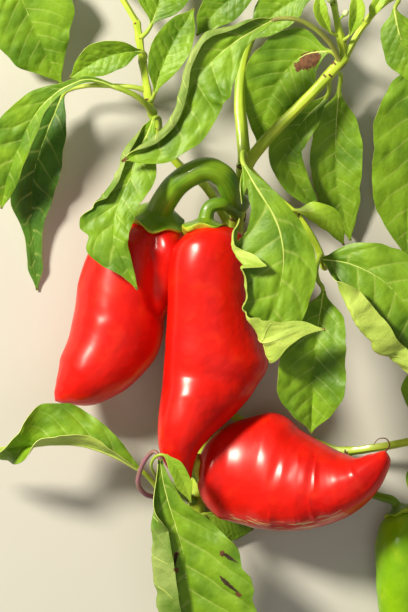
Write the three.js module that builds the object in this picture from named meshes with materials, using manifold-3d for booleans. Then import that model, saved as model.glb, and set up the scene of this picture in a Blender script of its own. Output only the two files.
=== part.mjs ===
// A cut fruiting branch of a chilli pepper plant, lying on its back: a forked green stem, three ripe
// red fruits, one green fruit and the leaves round them. Millimetres, +Z up off the floor, +Y along
// the branch from its cut end to its growing tip. Every place is a real distance on the branch.
import * as THREE from 'three';
import { mergeVertices } from 'three/addons/utils/BufferGeometryUtils.js';
import Module from 'manifold-3d';

const wasm = await Module();
wasm.setup();

// Driving dimensions
const GAP = 0.3; // clear space where a leaf stalk, fruit stalk or twig meets what carries it
const BLADE_THICKNESS = 1.15; // a hundredth of the longest leaf
const YOUNG_THICKNESS = 0.8; // leaves of the growing tip, under 60 mm long
const TIGHTEST_ROLL = 1.5; // radius of the tightest rolled leaf edge
const STEM_SIDES = 10;
const STALK_SIDES = 5;
const STALK_STEP = 8; // spacing of the rings along a leaf stalk
const FRUIT_SIDES = 16;
const FRUIT_RINGS = 22;
const DISH_DEPTH = 1.6; // how far a fruit's shoulders dip round its stalk
const BLADE_TIP_WIDTH = 0.5; // half width left at a leaf's tip
const ROUTE_STEP = 0.5; // spacing of the points that carry a route's frame
const MIDDLE = [3.7, -6.6, -0.2]; // the branch's middle on the floor, which becomes the origin

// Main places that several pieces share
const CUT_END = [-5.6, -162.4, 3.4];
const FORK = [16.4, 56.4, 22];
const CROWN_NODE = [56.4, 99.6, 29];
const MID_END = [19.6, 112, 15];
const LEFT_NODE = [-20.8, 77.6, 20];
const LEFT_END = [-27, 114, 18];
const LOW_NODE = [-17.6, -74.4, 20];
const RIGHT_NODE = [48.4, 16, 24];

const colours = {
  stem: new THREE.MeshStandardMaterial({ color: 0x8fae2c, roughness: 0.5, metalness: 0 }),
  stalk: new THREE.MeshStandardMaterial({ color: 0x5d8a24, roughness: 0.45, metalness: 0 }),
  ripe: new THREE.MeshStandardMaterial({ color: 0xe0160c, roughness: 0.22, metalness: 0 }),
  unripe: new THREE.MeshStandardMaterial({ color: 0x5fb80f, roughness: 0.25, metalness: 0 }),
  leaf: new THREE.MeshStandardMaterial({ color: 0x5c9a26, roughness: 0.45, metalness: 0 }),
  young: new THREE.MeshStandardMaterial({ color: 0x86bb3a, roughness: 0.45, metalness: 0 }),
};

// Limbs in the order they grow, each cut clear of the limbs it springs from
const limbs = [
  { name: 'main_stem', radii: [3.3, 2.9], sides: STEM_SIDES,
    route: [CUT_END, [-5.6, -148, 3.4], [-5.8, -117.6, 3.8], [-2.8, -77.6, 4.2], [2.8, -29.6, 5.4],
      [10.8, 18.4, 10], FORK] },
  { name: 'upper_stem', radii: [2.6, 1.8], from: ['main_stem'], sides: STEM_SIDES,
    route: [FORK, [27.2, 69.2, 25], [42.4, 84.4, 27], CROWN_NODE] },
  { name: 'mid_stem', radii: [2.6, 2.2], from: ['main_stem', 'upper_stem'], sides: 8,
    route: [FORK, [15.2, 70, 18], [14.4, 84, 15], [15.6, 98, 14], MID_END] },
  { name: 'tip_shoot', radii: [1.7, 1], from: ['upper_stem'], sides: 8,
    route: [CROWN_NODE, [54, 110.4, 33], [51.6, 122.4, 36], [49.6, 133.6, 38]] },
  { name: 'right_shoot', radii: [1.4, 1.1], from: ['upper_stem', 'tip_shoot'], sides: 8,
    route: [CROWN_NODE, [62.4, 110.4, 31], [69.6, 119.2, 33], [79.2, 125.6, 33], [91.2, 128.8, 30]] },
  { name: 'left_shoot', radii: [1.9, 1.4], from: ['main_stem'], sides: 8,
    route: [[12.4, 28, 11], [0.4, 48.4, 10], [-11.6, 58.4, 14], LEFT_NODE, [-24, 94.4, 20], LEFT_END] },
  { name: 'top_left_twig', radii: [1.3, 1.1], from: ['left_shoot'], sides: 8,
    route: [LEFT_END, [-38, 130, 16], [-57, 141, 14], [-77.6, 145, 14]] },
  { name: 'right_twig', radii: [1.8, 1.2], from: ['main_stem', 'upper_stem'], sides: 8,
    route: [FORK, [27.2, 45.2, 24], [37.2, 36.4, 26], [44.8, 25.2, 26], RIGHT_NODE] },
  { name: 'side_stem', radii: [1.8, 1.6], from: ['main_stem'], sides: 8,
    route: [[2.2, -34.4, 6.6], [14.4, -46, 3.4], [28, -50.4, 2], [42, -54, 2.6], [54.4, -58.4, 6],
      [68.4, -57.2, 11], [81.6, -54.8, 13], [96.4, -52, 13]] },
  { name: 'low_twig', radii: [1.6, 1.3], from: ['main_stem'], sides: 8,
    route: [[-3.6, -90, 5.4], [-11.2, -80.6, 12], LOW_NODE] },
];

// Fruits: the route runs down the middle of the fruit from its shoulders to its tip. girth lists, at
// shares of that length, the half width on the two sides, left first for a fruit seen from above with
// its tip towards the viewer. height is the part of the mean half width that the fruit stands up.
// lobes is [count, depth, turn].
const fruits = [
  { name: 'fruit_left', colour: 'ripe', height: [[0, 0.94], [0.3, 0.86], [0.6, 0.9], [1, 1]],
    lobes: [3, 0.02, 0.6],
    route: [[-18.4, 36, 24], [-20, 26.4, 20.6], [-25.6, 14.4, 18.4], [-31.6, 2.4, 17.8],
      [-36.8, -9.6, 18.6],
      [-42.4, -19.6, 20.2], [-49.6, -28.8, 22], [-55.2, -34, 23], [-59.6, -38, 23]],
    girth: [[0.01, 6.5, 6], [0.045, 12.6, 10.4], [0.113, 18.6, 12.6], [0.264, 21.6, 14.4],
      [0.417, 20.4, 17.4],
      [0.57, 17, 20.6], [0.704, 14.2, 18.8], [0.841, 11.4, 13.6], [0.93, 6.4, 8.2], [0.975, 3.6, 4.4]] },
  { name: 'fruit_lower', colour: 'ripe', height: [[0, 0.84], [0.15, 0.54], [0.31, 0.64], [0.46, 0.74],
    [0.66, 0.88], [1, 1]], lobes: [4, 0.015, 0.3],
    route: [[-3.4, -65.8, 22.6], [9, -67, 22.6], [22, -70, 24], [34.4, -73, 27.4], [46.4, -74, 32],
      [56.4, -72.4, 37.2], [64.4, -68.4, 41.8], [70.4, -62, 44.2], [72.2, -58, 45]],
    girth: [[0.01, 6.4, 6], [0.034, 11, 10], [0.076, 15.4, 14.8], [0.152, 18.8, 21], [0.303, 18.8, 27.6],
      [0.458, 17, 23.4], [0.612, 13.8, 19.2], [0.738, 10.6, 14.6], [0.847, 7.4, 9.2], [0.93, 4.8, 6],
      [0.97, 3.6, 4],
      [0.99, 2.2, 2.4]] },
  { name: 'fruit_middle', colour: 'ripe', lobes: [3, 0.02, 2.2], touches: ['fruit_lower', 'fruit_left'],
    height: [[0, 0.86], [0.3, 0.78], [0.5, 0.7], [0.6, 0.75], [0.7, 0.93], [0.78, 0.98], [1, 1]],
    route: [[0.6, 32.4, 31.2], [1.8, 23, 32.6], [1, 12.4, 32.8], [0, -1.6, 32], [-1.4, -15.6, 30.8],
      [-3, -27.6, 30.4], [-4.8, -38.8, 32.4], [-7, -49.6, 35], [-8.6, -57.6, 35.4], [-8.2, -63.6, 34.4],
      [-6, -70.4, 31.4]],
    girth: [[0.01, 6.4, 6.8], [0.03, 10, 11], [0.08, 14.6, 15.4], [0.18, 15.4, 17.4], [0.32, 14.6, 19.8],
      [0.45, 14.2, 25.6], [0.495, 13.9, 27.6], [0.53, 13.7, 27], [0.5685, 13.4, 24.9], [0.625, 13, 22.2],
      [0.68, 12.7, 18.5], [0.753, 12.1, 13], [0.827, 10.7, 8.3], [0.915, 7.2, 4.8], [0.955, 4.6, 3],
      [0.985, 2.4, 1.8]] },
  { name: 'fruit_green', colour: 'unripe', height: [[0, 0.96], [1, 0.96]], lobes: [3, 0.04, 1.1],
    route: [[78.4, -82, 13], [80.4, -94, 12.4], [81.6, -110, 11.8], [81.2, -128, 10.6], [79.6, -142, 8.4],
      [77.6, -152, 6]],
    girth: [[0.015, 4.4, 4.4], [0.05, 7.6, 7.6], [0.11, 10, 10], [0.22, 12, 12], [0.4, 12.4, 12.4],
      [0.6, 10.8, 10.8], [0.78, 8, 8], [0.9, 5, 5], [0.97, 2.6, 2.6]] },
];

// Fruit stalks, each with its calyx, the cap that sits on the fruit's shoulders. cap is the calyx's
// half width and depth.
const stalks = [
  { name: 'stalk_left', fruit: 'fruit_left', from: ['main_stem', 'upper_stem', 'mid_stem', 'right_twig'],
    radii: [4.5, 5.3], cap: [11.2, 4.6],
    route: [[14.2, 42, 16.8], [12.6, 42.6, 24], [10.6, 46.6, 31], [7.4, 52.2, 35], [1.6, 54.8, 36.4],
      [-5, 52.8, 35.4], [-11, 48.6, 32.6], [-16.2, 41.6, 28]] },
  { name: 'stalk_middle', fruit: 'fruit_middle', radii: [2.4, 3], cap: [9.6, 3.4],
    from: ['main_stem', 'upper_stem', 'mid_stem', 'right_twig', 'stalk_left'],
    route: [[13.4, 36, 14.8], [11.8, 38.6, 24], [7.4, 41, 30.6], [2.2, 39.4, 31.2]] },
  { name: 'stalk_lower', fruit: 'fruit_lower', from: ['main_stem', 'low_twig'],
    radii: [1.9, 2.4], cap: [6.2, 3],
    route: [[-2.9, -79, 5.6], [-8.6, -75.6, 12], [-9.8, -69.4, 19.6]] },
  { name: 'stalk_green', fruit: 'fruit_green', from: ['side_stem'],
    radii: [1.5, 1.8], cap: [6.4, 2.6],
    route: [[58, -58.6, 7], [59.6, -68.4, 4.4], [66.4, -75, 8], [71.6, -77, 11.4], [76, -78.4, 13]] },
];

// Leaves. stalk is the petiole's route and midrib the blade's. half is [share, left, right], the half
// widths in mm looking from base to tip with the upper face up. face is [share, x, y, z], the way that
// the upper face looks. fold tilts a half up from the midrib and roll turns its edge over, both [share,
// left, right] in degrees. rollSpan is [share, from, to], the part of the half width that rolls. wave
// is the edge's [height, count, phase].
const leaves = [
  { name: 'leaf_front_arching', carrier: 'upper_stem', also: ['tip_shoot', 'right_shoot'],
    grid: 15, stalkRadii: [1.1, 0.9],
    stalk: [[54.6, 97.8, 28.8], [51, 104.4, 36], [44, 111, 42], [36, 114.4, 46.4], [27.6, 114, 48]],
    midrib: [[27.6, 114, 48], [23.2, 111.6, 48.6], [14.4, 106.4, 49], [6.4, 100.4, 49], [-1.2, 93.6, 48.6],
      [-5.6, 86.2, 48], [-8, 79, 47.4], [-11.4, 72, 46.8], [-17.4, 66, 46.6], [-25.2, 61.2, 46.8],
      [-32.8, 57.6, 47.4]],
    half: [[0, 1, 1], [0.06, 2, 4.6], [0.18, 4.4, 10.6], [0.3, 11.2, 14], [0.42, 15.6, 11.6],
      [0.53, 14.8, 8.4],
      [0.62, 13, 7.8], [0.7, 11.6, 7.8], [0.8, 9.4, 7.6], [0.9, 5, 5], [1, 0.5, 0.5]],
    fold: [[0, 20, 25], [0.18, 12, 10], [0.3, 8, 6], [0.42, 8, 15], [0.53, 10, 16], [0.62, 10, 16],
      [0.8, 12, 18],
      [1, 15, 20]],
    roll: [[0, 0, 30], [0.08, 0, 120], [0.18, 0, 168], [0.85, 0, 168], [0.93, 0, 110], [1, 0, 20]],
    rollSpan: [[0, 0.5, 0.94], [0.18, 0.51, 0.93], [0.3, 0.61, 0.93], [0.42, 0.51, 0.9], [0.53, 0.3, 0.83],
      [0.62, 0.256, 0.833], [0.8, 0.25, 0.84], [1, 0.3, 0.94]], wave: [0.4, 4.3, 0.1] },
  { name: 'leaf_left_hanging', carrier: 'left_shoot', grid: 15, stalkRadii: [1, 0.9],
    stalk: [[-18.2, 71, 18.3], [-17.6, 72.8, 26], [-18.4, 75.6, 31.6], [-20.4, 74.8, 34]],
    midrib: [[-20.4, 74.8, 34], [-22.8, 68.4, 36.4], [-26.8, 61.6, 38.4], [-29.2, 52.4, 40.6],
      [-33.2, 42.4, 42.6],
      [-36, 33.6, 43.4], [-36, 24.8, 43.4], [-32, 17.6, 43], [-29.2, 12, 42.6], [-26.6, 6.4, 42]],
    half: [[0, 1, 1], [0.092, 4, 5], [0.2, 8, 8.4], [0.328, 9.8, 9.6], [0.43, 8.8, 10], [0.5, 8, 11],
      [0.56, 7.7, 11.4],
      [0.61, 7.5, 13.8], [0.65, 7.1, 13.4], [0.68, 6.8, 9.8], [0.72, 6.4, 11.6], [0.76, 5.4, 9.4],
      [0.83, 3.4, 6.4],
      [0.916, 1.8, 2.6], [1, 0.5, 0.5]],
    fold: [[0, 20, 10], [0.12, 16, -4], [0.3, 14, -6], [0.5, 10, -8], [0.8, 14, 0], [1, 10, 10]],
    roll: [[0, 0, 20], [0.12, 0, 120], [0.2, 0, 165], [0.5, 0, 165], [0.56, 0, 100], [0.61, 0, 20],
      [0.66, 0, 0], [1, 0, 0]],
    rollSpan: [[0, 0.5, 0.94], [0.2, 0.32, 0.86], [0.335, 0.41, 0.875], [0.43, 0.43, 0.88],
      [0.5, 0.48, 0.89],
      [0.56, 0.73, 0.94], [1, 0.8, 0.94]], wave: [0.9, 4, 0.4] },
  { name: 'leaf_low_left', carrier: 'low_twig', grid: 14, stalkRadii: [1.1, 0.9],
    stalk: [LOW_NODE, [-21.6, -69.6, 24], [-25.2, -66, 27]],
    midrib: [[-25.2, -66, 27], [-36.8, -59.6, 30], [-48.8, -55.6, 31], [-60.8, -55.2, 30],
      [-71.6, -56.8, 28],
      [-82, -57, 26], [-94, -59.6, 22]],
    half: [[0, 1, 1], [0.1, 2.6, 3.4], [0.186, 4, 7], [0.27, 5.4, 9.6], [0.363, 6.2, 12.8], [0.45, 7, 15.8],
      [0.532, 7.2, 16.4], [0.61, 7, 13.4], [0.69, 7, 10], [0.83, 7, 8], [0.92, 4, 5], [1, 0.5, 0.5]],
    face: [[0, 0, 0.3, 1], [0.55, 0, 0.1, 1], [0.7, 0, -0.6, 0.8], [0.8, 0, -0.95, 0.2],
      [1, 0, -0.95, 0.1]],
    fold: [[0, 70, 20], [0.2, 100, 10], [0.35, 112, 4], [0.55, 108, 6], [0.72, 60, 20], [1, 10, 10]],
    wave: [0.6, 3.2, 0.2] },
  { name: 'leaf_low_front', carrier: 'low_twig', grid: 14, stalkRadii: [1.1, 0.9], stalkStep: 5,
    stalk: [[-14.2, -78, 15.8], [-19, -76.8, 23], [-23.6, -75.4, 28.6], [-26.4, -71.4, 32.4],
      [-25.4, -65.4, 35.4],
      [-22.8, -60.4, 38], [-19.8, -58, 40], [-17.6, -61, 41.4]],
    midrib: [[-17.6, -61, 41.4], [-16.4, -69.6, 41.4], [-14.4, -77.6, 40.6], [-12, -85.6, 39.4],
      [-9.6, -93.6, 38.2],
      [-7.6, -101.6, 37], [-6.6, -109.6, 35.6], [-5.8, -117.6, 34.2], [-3.6, -134, 30.6], [-0.8, -152, 25]],
    half: [[0, 1, 1], [0.05, 1.8, 2.2], [0.118, 3.8, 5], [0.203, 6.4, 11.4], [0.29, 12.6, 18.6],
      [0.378, 18, 22.4],
      [0.464, 22.8, 24.6], [0.548, 26.6, 24.8], [0.631, 27, 23.6], [0.804, 21, 15], [0.92, 10.6, 7],
      [1, 0.5, 0.5]],
    fold: [[0, 20, 30], [0.2, 12, 0], [0.4, 10, -4], [1, 14, 14]],
    roll: [[0, 0, 60], [0.16, 0, 120], [0.28, 0, 172], [0.8, 0, 172], [1, 0, 20]],
    rollSpan: [[0, 0.46, 0.7], [1, 0.46, 0.7]], wave: [0.5, 3, 0.7] },
  { name: 'leaf_low_wing', carrier: 'low_twig', grid: 7, stalkRadii: [0.7, 0.6], thickness: YOUNG_THICKNESS,
    stalk: [[-11.2, -80.6, 12], [-12.6, -76.4, 22], [-19.4, -68, 34], [-21, -62.8, 42],
      [-18.6, -59.6, 45.4], [-15.4, -59.4, 46.4]],
    midrib: [[-15.4, -59.4, 46.4], [-10.8, -64.8, 46.6], [-7.4, -72, 45], [-5.2, -78.4, 42.4]],
    half: [[0, 0.8, 0.8], [0.3, 3, 3.4], [0.6, 3.2, 3.6], [1, 0.4, 0.4]], fold: [[0, 20, 20], [1, 0, 10]] },
  { name: 'leaf_under_fruit', carrier: 'main_stem', grid: 9, stalkRadii: [0.9, 0.8],
    stalk: [[-3.6, -87, 5.3], [-1, -84.4, 7], [1.4, -84, 7.2]],
    midrib: [[1.4, -84, 7.2], [7, -85.6, 6.8], [13.4, -87.6, 6], [20, -90.4, 4.6]],
    half: [[0, 1, 1], [0.25, 3, 5.6], [0.5, 2.6, 8.4], [0.75, 1.8, 7.4], [0.9, 1, 3.6], [1, 0.5, 0.5]],
    fold: [[0, 25, 10], [1, 5, -20]] },
  { name: 'leaf_front_curled', carrier: 'main_stem',
    also: ['upper_stem', 'mid_stem', 'right_twig', 'stalk_left', 'stalk_middle'],
    grid: 20, stalkRadii: [1.3, 1], stalk: [FORK, [16.6, 60.6, 34], [15.4, 60.6, 50], [15.8, 56, 58.6]],
    midrib: [[15.8, 56, 58.6], [21.2, 46.4, 61], [26.8, 37.6, 62], [30.4, 28.4, 62.4], [31.6, 18.4, 62.4],
      [30.4, 8.4, 61.6], [28, -0.8, 61], [24.8, -8, 61], [22, -12.2, 63], [24, -14.4, 67.4],
      [30.4, -12.6, 70.6],
      [38.4, -9.6, 71.6], [48, -9.2, 72]],
    half: [[0, 1, 1], [0.05, 2, 4.4], [0.107, 4.4, 9.4], [0.208, 7, 20.2], [0.304, 9.8, 25.4],
      [0.34, 11, 26.4], [0.36, 12, 28],
      [0.38, 12.6, 29.4], [0.4, 12.8, 28.6], [0.42, 13, 27.2], [0.432, 13, 22], [0.45, 13, 18.8],
      [0.5, 12.4, 17.2],
      [0.58, 12, 15], [0.65, 11.4, 12.4], [0.71, 11, 10.6], [0.77, 8.6, 9.4], [0.84, 4.6, 6.6],
      [0.92, 2.4, 3.4],
      [1, 0.4, 0.4]],
    face: [[0, 0, 0, 1], [0.58, 0, 0.1, 1], [0.66, 0.3, 0.4, 0.85], [0.72, 0.8, 0.5, 0.1],
      [0.78, 0.4, 0.3, -0.9],
      [1, 0, 0, -1]],
    fold: [[0, 20, 20], [0.15, 4, -10], [0.3, -8, -12], [0.5, -8, 2], [0.68, -4, 10], [0.8, 0, 0],
      [1, 0, 0]],
    roll: [[0, 0, 60], [0.1, 0, 120], [0.28, 0, 140], [0.34, 0, 168], [0.42, 0, 172], [0.445, 0, 115],
      [0.56, 0, 120],
      [0.68, 0, 60], [0.74, 0, 0], [1, 0, 0]],
    rollSpan: [[0, 0.7, 0.96], [0.3, 0.7, 0.96], [0.34, 0.67, 0.88], [0.36, 0.61, 0.8],
      [0.38, 0.563, 0.745],
      [0.4, 0.536, 0.725], [0.42, 0.5, 0.7], [0.435, 0.6, 0.88], [0.45, 0.7, 0.96], [1, 0.7, 0.96]],
      wave: [0.5, 5, 0.3] },
  { name: 'leaf_right', carrier: 'right_twig', grid: 12, stalkRadii: [1.1, 0.9],
    stalk: [RIGHT_NODE, [50.2, 18.2, 33], [49.6, 19.4, 42], [47, 18.6, 48]],
    midrib: [[47, 18.6, 48], [57.6, 17, 52], [70.4, 10.6, 54], [81.6, -1.4, 53], [91.2, -17.6, 47],
      [99.2, -35.6, 38]],
    half: [[0, 1, 1], [0.08, 5, 9], [0.16, 9.6, 21], [0.34, 14, 31], [0.52, 15, 33.5], [0.72, 11, 24],
      [0.88, 5, 10],
      [1, 0.5, 0.5]],
    fold: [[0, 15, 16], [0.5, -6, 2], [1, 5, 5]],
    roll: [[0, 0, 60], [0.14, 0, 150], [0.24, 0, 172], [0.75, 0, 172], [1, 0, 20]],
    rollSpan: [[0, 0.58, 0.74], [1, 0.58, 0.74]], wave: [0.6, 3.5, 0.5] },
  { name: 'leaf_right_small', carrier: 'right_twig', grid: 8, stalkRadii: [0.8, 0.7],
    thickness: YOUNG_THICKNESS,
    stalk: [[37.2, 36.4, 26], [36.2, 38.4, 31], [37.2, 38.2, 36]],
    midrib: [[37.2, 38.2, 36], [44.4, 37.4, 39], [51.2, 33, 38], [56, 24.4, 35]],
    half: [[0, 0.8, 0.8], [0.25, 4.4, 4], [0.55, 5.4, 5], [0.8, 3, 3], [1, 0.4, 0.4]],
    fold: [[0, -10, -20], [0.6, -25, -30], [1, -10, -10]] },
  { name: 'leaf_behind_fruits', carrier: 'right_twig', grid: 11, stalkRadii: [1, 0.9],
    stalk: [[46.6, 20.6, 25.2], [45, 15, 32], [45.6, 10, 42], [47.6, 6, 49]],
    midrib: [[47.6, 6, 49], [45.2, -9.6, 52], [43.6, -29.6, 52], [42.8, -50.8, 46]],
    half: [[0, 1, 1], [0.18, 10, 9], [0.42, 12.6, 14], [0.68, 13, 15], [0.85, 8.4, 9.4], [1, 0.5, 0.5]],
    fold: [[0, 15, 15], [0.5, 10, 14], [1, 20, 20]], wave: [0.9, 3, 0.15] },
  { name: 'leaf_behind_crown', carrier: 'upper_stem', also: ['tip_shoot', 'mid_stem'],
    grid: 8, stalkRadii: [1.1, 0.9],
    stalk: [[53.2, 96.4, 28.6], [53.4, 100, 23.6], [50.4, 102.6, 20]],
    midrib: [[50.4, 102.6, 20], [40.4, 101, 17], [31, 92, 14], [25, 79, 10.6], [21.6, 65, 7.6]],
    half: [[0, 1, 1], [0.18, 12, 12], [0.42, 13, 15], [0.68, 9, 10], [0.88, 4, 4], [1, 0.5, 0.5]],
    fold: [[0, 10, 10], [1, -5, 10]] },
  { name: 'leaf_crown_left', carrier: 'tip_shoot', grid: 8, stalkRadii: [0.9, 0.8],
    stalk: [[52, 121, 35.6], [48, 124, 30], [44, 124.6, 26]],
    midrib: [[44, 124.6, 26], [36.4, 122.8, 24], [28, 117, 22], [19.6, 107, 20]],
    half: [[0, 1, 1], [0.25, 7, 7], [0.5, 8, 9], [0.8, 5, 5], [1, 0.5, 0.5]], fold: [[0, 15, 15],
      [1, 5, 5]] },
  { name: 'leaf_inner_curved', carrier: 'upper_stem', grid: 9, stalkRadii: [0.9, 0.8],
    stalk: [[49.4, 92.6, 28], [50.4, 88.6, 22], [49.6, 84.4, 18]],
    midrib: [[49.6, 84.4, 18], [39.2, 73.6, 17], [33.2, 62.4, 16], [36.8, 50.4, 15], [46.4, 39.2, 14]],
    half: [[0, 1, 1], [0.2, 6, 6], [0.45, 6.5, 8], [0.72, 5.5, 6], [0.9, 3, 3], [1, 0.5, 0.5]],
    fold: [[0, 15, 25], [1, 5, 20]] },
  { name: 'leaf_inner_long', carrier: 'upper_stem', grid: 9, stalkRadii: [1, 0.9],
    stalk: [[51.2, 94.4, 28.3], [55, 93, 20], [54.4, 86.4, 14]],
    midrib: [[54.4, 86.4, 14], [53.2, 70.4, 10], [53.6, 50.4, 7], [59.2, 26.4, 4]],
    half: [[0, 1, 1], [0.16, 8, 8], [0.42, 11, 10], [0.7, 9, 9], [0.88, 4, 4], [1, 0.5, 0.5]],
    fold: [[0, 20, 10], [1, 5, 5]] },
  { name: 'leaf_far_right', carrier: 'right_shoot', grid: 9, stalkRadii: [1.2, 1],
    stalk: [[91.2, 128.8, 30], [95, 118, 28], [92, 108, 22], [88, 100.4, 18]],
    midrib: [[88, 100.4, 18], [85.6, 78.4, 12], [83.2, 50.4, 6], [81.6, 19.2, 0.8]],
    half: [[0, 1, 1], [0.16, 13, 12], [0.4, 17, 17], [0.68, 14, 15], [0.88, 6, 7], [1, 0.5, 0.5]],
    fold: [[0, 10, 5], [0.5, 4, 12], [1, 5, 5]] },
  { name: 'leaf_shaded_right', carrier: 'right_shoot', grid: 8, stalkRadii: [0.9, 0.8],
    stalk: [[76, 123.8, 33.2], [78, 122, 37.6], [76, 118.8, 39.6]],
    midrib: [[76, 118.8, 39.6], [78, 108.8, 40], [82, 99.2, 39], [88, 87.2, 36]],
    half: [[0, 1, 1], [0.22, 7, 7], [0.5, 9, 9], [0.8, 5, 5], [1, 0.5, 0.5]], fold: [[0, -10, -15],
      [1, -10, -10]] },
  { name: 'leaf_top_left', carrier: 'top_left_twig', grid: 9, stalkRadii: [1.1, 0.9],
    stalk: [[-77.6, 145, 14], [-82, 143, 16], [-79.2, 137.6, 16]],
    midrib: [[-79.2, 137.6, 16], [-72.8, 122.4, 14], [-64.8, 104, 10], [-57.6, 90, 5]],
    half: [[0, 1, 1], [0.2, 14, 12], [0.45, 18, 17], [0.7, 11, 13], [0.88, 4, 5], [1, 0.5, 0.5]],
    fold: [[0, 10, 10], [1, 5, 5]] },
  { name: 'leaf_left_low', carrier: 'left_shoot', grid: 11, stalkRadii: [1, 0.9],
    stalk: [[-22.6, 86.6, 20.3], [-28.6, 88, 21.4], [-38, 88.6, 18.6], [-48, 88.6, 15.6],
      [-56.8, 85.6, 14]],
    midrib: [[-56.8, 85.6, 14], [-63.2, 70.4, 12], [-68.4, 54.4, 9], [-69.6, 40.4, 6.4],
      [-68.8, 26.4, 4], [-67.6, 6.4, 1]],
    half: [[0, 1, 1], [0.1, 5, 6], [0.2, 8.6, 8.6], [0.4, 10.4, 11], [0.56, 8.4, 8.8], [0.68, 4.6, 4.6],
      [0.76, 3.4, 3.4],
      [0.88, 3.2, 3.2], [1, 0.5, 0.5]],
    fold: [[0, 15, 15], [1, 10, 5]] },
  { name: 'leaf_left_arching', carrier: 'left_shoot', grid: 12, stalkRadii: [1.3, 1.1],
    stalk: [LEFT_NODE, [-23.6, 81.2, 27], [-28, 84.6, 31], [-35.2, 87.6, 33]],
    midrib: [[-35.2, 87.6, 33], [-46.4, 90.6, 35], [-56.8, 86.8, 34], [-65.6, 79.2, 31],
      [-72.8, 67.2, 27], [-78.4, 53.6, 22],
      [-81.6, 39.2, 16]],
    half: [[0, 1, 1], [0.25, 1.6, 2], [0.42, 3, 8], [0.6, 5, 12], [0.78, 5, 10], [0.92, 3, 5],
      [1, 0.5, 0.5]],
    fold: [[0, 30, 10], [1, 20, 5]] },
  { name: 'leaf_left_pointing', carrier: 'left_shoot', grid: 8, stalkRadii: [0.9, 0.8],
    stalk: [[-24.6, 98, 19.6], [-23.4, 100.6, 23], [-25.6, 102.4, 26]],
    midrib: [[-25.6, 102.4, 26], [-33.6, 101.4, 28], [-43, 98.4, 27], [-54, 91.6, 23.6]],
    half: [[0, 1, 1], [0.25, 6, 6], [0.5, 7, 8], [0.8, 4, 4.5], [1, 0.5, 0.5]],
    fold: [[0, 15, 40], [1, 5, 30]] },
  { name: 'leaf_left_upright', carrier: 'left_shoot', grid: 8, stalkRadii: [0.9, 0.8],
    stalk: [[-21.8, 82.4, 20.3], [-20.4, 83.6, 25], [-19.6, 86, 28]],
    midrib: [[-19.6, 86, 28], [-17.2, 94.6, 30], [-12.4, 105.4, 30], [-4, 119.4, 28]],
    half: [[0, 1, 1], [0.25, 6, 6], [0.5, 8, 8.5], [0.8, 5, 5], [1, 0.5, 0.5]], fold: [[0, 25, 20],
      [1, 10, 10]] },
  { name: 'leaf_upper_back', carrier: 'left_shoot', grid: 8, stalkRadii: [0.9, 0.8],
    stalk: [[-26, 107.6, 18.6], [-23, 110, 21], [-21, 113.4, 21.4]],
    midrib: [[-21, 113.4, 21.4], [-18, 122, 20.4], [-15.2, 131, 18], [-14.4, 140.4, 14]],
    half: [[0, 1, 1], [0.25, 9, 9], [0.5, 11, 11], [0.8, 7, 7], [1, 0.5, 0.5]], fold: [[0, 15, 15],
      [1, 5, 5]] },
  { name: 'leaf_upper_back_right', carrier: 'mid_stem', grid: 8, stalkRadii: [0.9, 0.8],
    stalk: [MID_END, [22.4, 121, 17], [25.4, 130, 22], [23.2, 132.8, 25]],
    midrib: [[23.2, 132.8, 25], [12.8, 124.8, 24], [4, 117.4, 22], [-3, 108.8, 20]],
    half: [[0, 1, 1], [0.25, 6, 6], [0.5, 7.5, 8], [0.8, 4.5, 5], [1, 0.5, 0.5]], fold: [[0, 15, 15],
      [1, 5, 5]] },
  { name: 'leaf_side_upper', carrier: 'side_stem', grid: 8, stalkRadii: [0.9, 0.8],
    stalk: [[94.6, -52.4, 13], [94.4, -49.6, 17], [91.4, -46.6, 19]],
    midrib: [[91.4, -46.6, 19], [87.2, -39.4, 19], [84.8, -32, 17], [84, -24, 14]],
    half: [[0, 1, 1], [0.3, 5, 5], [0.6, 6, 6], [1, 0.5, 0.5]], fold: [[0, 20, 20], [1, 5, 5]] },
  { name: 'leaf_side_lower', carrier: 'side_stem', grid: 8, stalkRadii: [0.9, 0.8],
    stalk: [[95.4, -52, 13], [97.4, -56, 13.6], [95.4, -59.4, 13]],
    midrib: [[95.4, -59.4, 13], [90.4, -65, 12], [86, -71, 13], [83.6, -77.4, 16.6]],
    half: [[0, 1, 1], [0.3, 5, 5], [0.6, 6, 6], [1, 0.5, 0.5]], fold: [[0, 15, 15], [1, 5, 5]] },
];

// Young leaves of the growing tip, each a few centimetres long
const youngLeaves = [
  { name: 'young_leaf_right', carrier: 'right_shoot', stalk: [[64.4, 114, 31.8], [66.4, 115.4, 35]],
    midrib: [[66.4, 115.4, 35], [69.4, 121, 37.4], [74, 127, 38]], width: 2.6 },
  { name: 'young_leaf_left', carrier: 'tip_shoot', stalk: [[50.2, 130.6, 37.4], [48.6, 131.4, 41]],
    midrib: [[48.6, 131.4, 41], [42, 136.6, 43], [35, 140.4, 42]], width: 5 },
  { name: 'young_leaf_end', carrier: 'tip_shoot', stalk: [[49.8, 132.4, 37.8], [50.6, 135.4, 41]],
    midrib: [[50.6, 135.4, 41], [53.4, 142, 42], [57.6, 149, 40]], width: 4.6 },
  { name: 'young_leaf_front', carrier: 'tip_shoot', stalk: [[55, 106, 31.4], [58.6, 108.6, 36]],
    midrib: [[58.6, 108.6, 36], [61, 116.6, 40], [60.4, 127.4, 42]], width: 3.4 },
  { name: 'young_leaf_side', carrier: 'tip_shoot', stalk: [[54.6, 108, 32.2], [50.4, 109.6, 36]],
    midrib: [[50.4, 109.6, 36], [46.6, 117.6, 40], [46.4, 127, 41]], width: 3 },
];
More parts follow.
